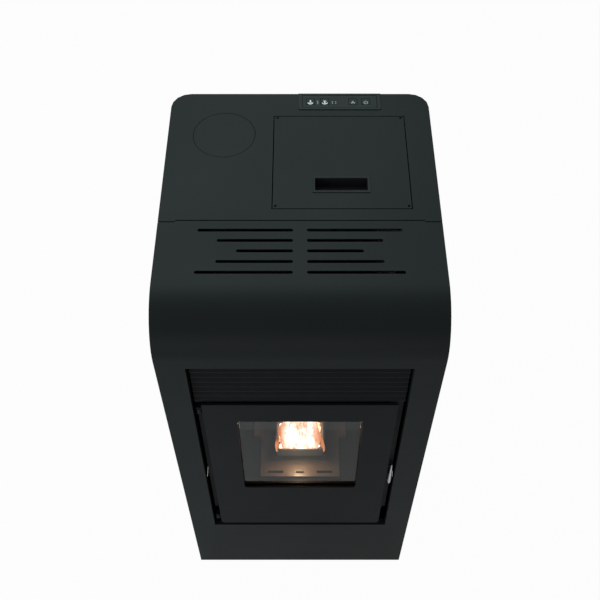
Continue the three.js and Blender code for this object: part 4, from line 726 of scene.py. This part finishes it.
def addScrewHead(form, place, heading, radius, height):
    head = bmesh.new()
    bmesh.ops.create_uvsphere(head, u_segments=16, v_segments=8, radius=1.0)
    for vertex in head.verts:
        vertex.co.z = max(vertex.co.z, 0.0)
    bmesh.ops.remove_doubles(head, verts=head.verts, dist=0.0001)
    for turn in (0.0, math.pi / 2):
        cut = bmesh.ops.create_cube(head, size=2.0)["verts"]
        bmesh.ops.scale(head, vec=(0.55, 0.10, 0.05), verts=cut)
        bmesh.ops.rotate(head, cent=(0, 0, 0), matrix=Matrix.Rotation(turn, 3, "Z"), verts=cut)
        bmesh.ops.translate(head, vec=(0, 0, 0.98), verts=cut)
    bmesh.ops.scale(head, vec=(radius * mm, radius * mm, height * mm), verts=head.verts)
    turn = Vector(heading).to_track_quat("Z", "Y").to_matrix()
    bmesh.ops.rotate(head, cent=(0, 0, 0), matrix=turn, verts=head.verts)
    bmesh.ops.translate(head, vec=Vector(place) * mm, verts=head.verts)
    holder = bpy.data.meshes.new("screwHead")
    head.to_mesh(holder)
    head.free()
    form.from_mesh(holder)
    bpy.data.meshes.remove(holder)


def screwPiece(name, body, heads, heading, radius, height):
    form = bmesh.new()
    for place in heads:
        addScrewHead(form, place, heading, radius, height)
    makePiece(name, form, body, materials["galvanised"])


lidScrews = {"topZ": 968.3, "places": [(-40.5, -12.5), (178.5, -12.5), (-39.5, 194.6), (177.5, 194.6)],
             "radius": 2.6, "height": 0.8}
screwPiece("rear_screws", "root",
           [(x, rearScrews["rearY"], z) for x, z in rearScrews["places"]],
           (0, 1, 0), rearScrews["radius"], rearScrews["height"])
screwPiece("lid_screws", "lid",
           [(x, y, lidScrews["topZ"]) for x, y in lidScrews["places"]],
           (0, 0, 1), lidScrews["radius"], lidScrews["height"])
# the lid's screw heads take the near-black finish, a painted recess shade on black plugs
bpy.data.objects["lid_screws"].data.materials[0] = materials["screwBlackAndShade"]
print("screws made")

# ---- door lever: a chrome drop on a dark shaft

leverSetup = {
    "x": 174.4, "frontY": -250.6, "sides": 20,
    # height, half width and half depth of each section, from the top down
    "sections": [(500.0, 0.6, 0.7), (497.5, 1.4, 1.6), (490.0, 2.0, 2.3), (474.0, 2.8, 3.2),
                 (456.0, 3.5, 4.0), (441.0, 3.9, 4.5), (430.0, 3.8, 4.3), (424.0, 3.2, 3.4),
                 (421.5, 2.2, 2.0)],
    "shaft": ((132.0, -249.0, 494.0), (174.0, -249.0, 494.0)), "shaftRadius": 2.9,
}


def makeLever(setup):
    form = bmesh.new()
    rings = []
    for z, halfX, halfY in setup["sections"]:
        ring = []
        for side in range(setup["sides"]):
            angle = math.tau * side / setup["sides"]
            place = (setup["x"] + halfX * math.cos(angle), setup["frontY"] + halfY * math.sin(angle), z)
            ring.append(form.verts.new(Vector(place) * mm))
        rings.append(ring)
    for a, b in zip(rings, rings[1:]):
        for side in range(setup["sides"]):
            other = (side + 1) % setup["sides"]
            form.faces.new((a[side], a[other], b[other], b[side]))
    form.faces.new(rings[0])
    form.faces.new(rings[-1][::-1])
    bmesh.ops.recalc_face_normals(form, faces=form.faces)
    makePiece("lever_grip", form, "lever", materials["chrome"], stands=("door_lever",))
    shaft = bmesh.new()
    addRod(shaft, *setup["shaft"], setup["shaftRadius"], segments=20)
    makePiece("lever_shaft", shaft, "lever", materials["blackSteel"])


makeLever(leverSetup)

# bright aluminium blocks at the ends of the glass strip above the fire: a painted glint of its polished
# edges
stripGlintSetup = {"x": 107.6, "y": -245.75, "z": 665.0, "halves": (0.7, 0.22, 25.0)}
stripGlintForm = bmesh.new()
for side in (-1, 1):
    addBlock(stripGlintForm, (side * stripGlintSetup["x"], stripGlintSetup["y"], stripGlintSetup["z"]), stripGlintSetup["halves"])
makePiece("strip_end_glints", stripGlintForm, "door", materials["aluminium"])
print("lever made")

# ---- fire: a bed of embers and pellets in the pot, and the tongues above it

fireSetup = {
    "bedZ": 408.0, "bedCrown": 9.0, "bedHalfX": 42.0, "bedY": (-174.0, -106.0), "pelletCount": 150,
    "pelletRadius": 3.0, "pelletLength": (9.0, 17.0), "jitter": 3.0, "tilt": 0.35, "seed": 11,
}


def drawHeading(draw, tilt):
    return Vector((draw.uniform(-1, 1), draw.uniform(-1, 1), draw.uniform(-tilt, tilt))).normalized()


def scatterPellets(form, setup):
    draw = random.Random(setup["seed"])
    for place in range(setup["pelletCount"]):
        x = draw.uniform(-setup["bedHalfX"], setup["bedHalfX"])
        y = draw.uniform(*setup["bedY"])
        middleY = sum(setup["bedY"]) / 2
        span = (setup["bedY"][1] - setup["bedY"][0]) / 2
        fall = (x / setup["bedHalfX"]) ** 2 + ((y - middleY) / span) ** 2
        z = setup["bedZ"] - setup["bedCrown"] * fall + draw.uniform(-setup["jitter"], setup["jitter"])
        heading = drawHeading(draw, setup["tilt"])
        half = draw.uniform(*setup["pelletLength"]) / 2
        middle = Vector((x, y, z))
        addRod(form, middle - heading * half, middle + heading * half, setup["pelletRadius"], segments=10)


def makeEmbers():
    material, tree, shader, place = newMaterial("embers")
    glowing = addNoise(tree, place, 70.0, 5.0, 0.7)
    heat = addRange(tree, glowing.outputs["Fac"], 0.34, 0.54, 0.0, 1.0)
    char = addColorMix(tree, heat, rgb(0.02, 0.016, 0.014), rgb(0.30, 0.08, 0.02))
    tree.links.new(char, shader.inputs["Base Color"])
    shader.inputs["Roughness"].default_value = 0.9
    glow = addColorMix(tree, heat, rgb(0.55, 0.10, 0.03), rgb(1.0, 0.72, 0.46))
    tree.links.new(glow, shader.inputs["Emission Color"])
    tree.links.new(addRange(tree, heat, 0.0, 1.0, 0.6, 4.0), shader.inputs["Emission Strength"])
    return material


materials["embers"] = makeEmbers()
bedForm = bmesh.new()
scatterPellets(bedForm, fireSetup)
makePiece("ember_bed", bedForm, "pot", materials["embers"])


tongueSteps = 14
tongueSides = 12


# a tongue of flame: a closed leaf that leans, with a hot core and a thin edge
def addTongue(form, foot, height, width, lean, twist, wave=3.0):
    rings = []
    for step in range(tongueSteps + 1):
        share = step / tongueSteps
        bulge = math.sin(math.pi * min(1.0, share * 1.15 + 0.12)) ** 0.8 if share < 0.97 else 0.02
        radius = width * max(0.03, bulge) * (1.0 - share * 0.55)
        sway = Vector((lean[0] * share ** 1.6 + wave * math.sin(share * 6.0 + twist), lean[1] * share, 0))
        centre = Vector(foot) + sway + Vector((0, 0, height * share))
        ring = []
        for side in range(tongueSides):
            angle = math.tau * side / tongueSides
            flat = Vector((radius * math.cos(angle), radius * 0.55 * math.sin(angle), 0))
            ring.append(form.verts.new((centre + flat) * mm))
        rings.append(ring)
    for low, high in zip(rings, rings[1:]):
        for side in range(tongueSides):
            other = (side + 1) % tongueSides
            form.faces.new((low[side], low[other], high[other], high[side]))
    form.faces.new(rings[0][::-1])
    form.faces.new(rings[-1])


def makeFlame():
    material, tree, shader, place = newMaterial("flame")
    tree.nodes.remove(shader)
    clear = tree.nodes.new("ShaderNodeBsdfTransparent")
    glow = tree.nodes.new("ShaderNodeEmission")
    facing = tree.nodes.new("ShaderNodeLayerWeight")
    facing.inputs["Blend"].default_value = 0.5
    core = addRange(tree, facing.outputs["Facing"], 0.5, 0.97, 1.0, 0.0)
    drawn = tree.nodes.new("ShaderNodeMapping")
    drawn.inputs["Scale"].default_value = (1.0, 0.6, 0.32)
    tree.links.new(place, drawn.inputs["Vector"])
    licks = addNoise(tree, drawn.outputs[0], 85.0, 4.0, 0.6)
    uneven = addRange(tree, licks.outputs["Fac"], 0.34, 0.54, 0.35, 1.0)
    body = tree.nodes.new("ShaderNodeMath")
    body.operation = "MULTIPLY"
    tree.links.new(core, body.inputs[0])
    tree.links.new(uneven, body.inputs[1])
    # hottest in the middle of the pot, redder out at its sides
    axes = tree.nodes.new("ShaderNodeSeparateXYZ")
    tree.links.new(place, axes.inputs[0])
    aside = tree.nodes.new("ShaderNodeMath")
    aside.operation = "ABSOLUTE"
    tree.links.new(axes.outputs["X"], aside.inputs[0])
    middle = addRange(tree, aside.outputs[0], 0.022, 0.042, 1.0, 0.12)
    heat = tree.nodes.new("ShaderNodeMath")
    heat.operation = "MULTIPLY"
    tree.links.new(body.outputs[0], heat.inputs[0])
    tree.links.new(middle, heat.inputs[1])
    tone = addColorMix(tree, heat.outputs[0], rgb(1.0, 0.27, 0.05), rgb(1.0, 0.93, 0.82))
    tree.links.new(tone, glow.inputs["Color"])
    tree.links.new(addRange(tree, heat.outputs[0], 0.0, 1.0, 0.75, 2.6), glow.inputs["Strength"])
    mix = tree.nodes.new("ShaderNodeMixShader")
    tree.links.new(addRange(tree, core, 0.0, 0.5, 0.0, 0.95), mix.inputs["Fac"])
    tree.links.new(clear.outputs[0], mix.inputs[1])
    tree.links.new(glow.outputs[0], mix.inputs[2])
    tree.links.new(mix.outputs[0], tree.nodes["Material Output"].inputs["Surface"])
    return material


materials["flame"] = makeFlame()
tongues = [
    {"foot": (-33, -166, 404), "height": 76, "width": 10, "lean": (0, 12), "twist": 0.4},
    {"foot": (-20, -170, 404), "height": 92, "width": 17, "lean": (6, 16), "twist": 1.7},
    {"foot": (0, -171, 404), "height": 84, "width": 19, "lean": (2, 14), "twist": 2.9},
    {"foot": (20, -170, 404), "height": 98, "width": 17, "lean": (-4, 16), "twist": 4.2},
    {"foot": (33, -166, 404), "height": 88, "width": 10, "lean": (-2, 12), "twist": 5.1},
    {"foot": (-30, -146, 404), "height": 120, "width": 15, "lean": (6, 4), "twist": 3.3},
    {"foot": (-6, -148, 404), "height": 138, "width": 19, "lean": (-3, 4), "twist": 0.9},
    {"foot": (18, -144, 404), "height": 128, "width": 17, "lean": (4, 2), "twist": 2.2},
    {"foot": (32, -140, 404), "height": 104, "width": 10, "lean": (-4, 0), "twist": 2.6},
    {"foot": (-14, -124, 404), "height": 112, "width": 17, "lean": (3, -2), "twist": 4.8},
    {"foot": (14, -122, 404), "height": 116, "width": 17, "lean": (2, -2), "twist": 1.2},
    {"foot": (-47, -187, 428), "height": 56, "width": 2.6, "lean": (1, 8), "twist": 2.0, "wave": 0.8},
    {"foot": (47, -187, 428), "height": 60, "width": 2.6, "lean": (-2, 8), "twist": 1.0, "wave": 0.8},
    {"foot": (-44, -178, 431), "height": 48, "width": 2.4, "lean": (4, 4), "twist": 3.4, "wave": 1.0},
    {"foot": (44, -178, 431), "height": 54, "width": 2.4, "lean": (-4, 4), "twist": 4.6, "wave": 1.0},
]
flameForm = bmesh.new()
for tongue in tongues:
    addTongue(flameForm, **tongue)
bmesh.ops.recalc_face_normals(flameForm, faces=flameForm.faces)
makePiece("flame_tongues", flameForm, "pot", materials["flame"])

# the slot lamp is light that escapes through the slots before the pot
pointLamps = {
    "fireLamp": {"place": (0.0, -0.15, 0.47), "power": 0.8, "color": (1.0, 0.55, 0.25), "radius": 0.03},
    "slotLamp": {"place": (-0.002, -0.221, 0.405), "power": 0.075, "color": (1.0, 0.72, 0.42),
                 "radius": 0.008},
}
for lampName, lampSetup in pointLamps.items():
    lamp = bpy.data.lights.new(lampName, "POINT")
    lamp.energy = lampSetup["power"]
    lamp.color = lampSetup["color"]
    lamp.shadow_soft_size = lampSetup["radius"]
    holder = bpy.data.objects.new(lampName, lamp)
    holder.location = lampSetup["place"]
    bpy.context.scene.collection.objects.link(holder)
print("fire made")

# ---- wood pellets in the hopper, on a lumpy heap

heapSetup = {"x": (-19.0, 157.0), "y": (8.0, 167.0), "top": 872.0, "floor": 800.0, "count": 950, "seed": 23,
             "radius": 3.0, "length": (10.0, 20.0), "crown": 9.0, "edge": 10.0, "layer": 9.0,
             "tilt": 0.3}


def heapLevel(x, y, setup):
    acrossX = (x - sum(setup["x"]) / 2) / (setup["x"][1] - setup["x"][0])
    acrossY = (y - sum(setup["y"]) / 2) / (setup["y"][1] - setup["y"][0])
    return setup["top"] - setup["crown"] * 4.0 * (acrossX ** 2 + acrossY ** 2) / 2


def makeHeap(setup):
    draw = random.Random(setup["seed"])
    form = bmesh.new()
    middle = [sum(setup[axis]) / 2 for axis in ("x", "y")]
    half = [(setup[axis][1] - setup[axis][0]) / 2 for axis in ("x", "y")]
    halfHeight = (setup["top"] - setup["crown"] * 2.4 - setup["floor"]) / 2
    addBlock(form, (*middle, setup["floor"] + halfHeight), (*half, halfHeight))
    for place in range(setup["count"]):
        length = draw.uniform(*setup["length"]) / 2
        x = draw.uniform(setup["x"][0] + setup["edge"], setup["x"][1] - setup["edge"])
        y = draw.uniform(setup["y"][0] + setup["edge"], setup["y"][1] - setup["edge"])
        heading = drawHeading(draw, setup["tilt"])
        centre = Vector((x, y, heapLevel(x, y, setup) - draw.uniform(0.0, setup["layer"])))
        addRod(form, centre - heading * length, centre + heading * length, setup["radius"], segments=8)
    makePiece("hopper_pellets", form, "root", materials["woodPellet"])


makeHeap(heapSetup)
print("pellets made")

# ---- parts on the control board: chips and capacitors on its inner side

boardSetup = {
    "face": 212.0,
    # middle y and z, half length, half height and how far it stands out
    "chips": [(140, 440, 7, 5, 2.4), (140, 466, 7, 5, 2.4), (166, 500, 11, 4, 2.8), (112, 500, 5, 5, 1.8)],
    # middle y and z, radius and length
    "capacitors": [(176, 440, 5.0, 13), (176, 456, 5.0, 13), (176, 472, 4.0, 10), (118, 480, 4.0, 10)],
}


def dressBoard(setup):
    chips = bmesh.new()
    for y, z, halfY, halfZ, out in setup["chips"]:
        addBlock(chips, (setup["face"] - out / 2, y, z), (out / 2, halfY, halfZ))
    softenEdges(chips, 0.3 * mm)
    makePiece("board_chips", chips, "root", materials["blackPlastic"])
    cans = bmesh.new()
    for y, z, radius, length in setup["capacitors"]:
        addRod(cans, (setup["face"], y, z), (setup["face"] - length, y, z), radius, segments=24)
    softenEdges(cans, 0.5 * mm)
    makePiece("board_capacitors", cans, "root", materials["aluminium"])


dressBoard(boardSetup)
print("board dressed")
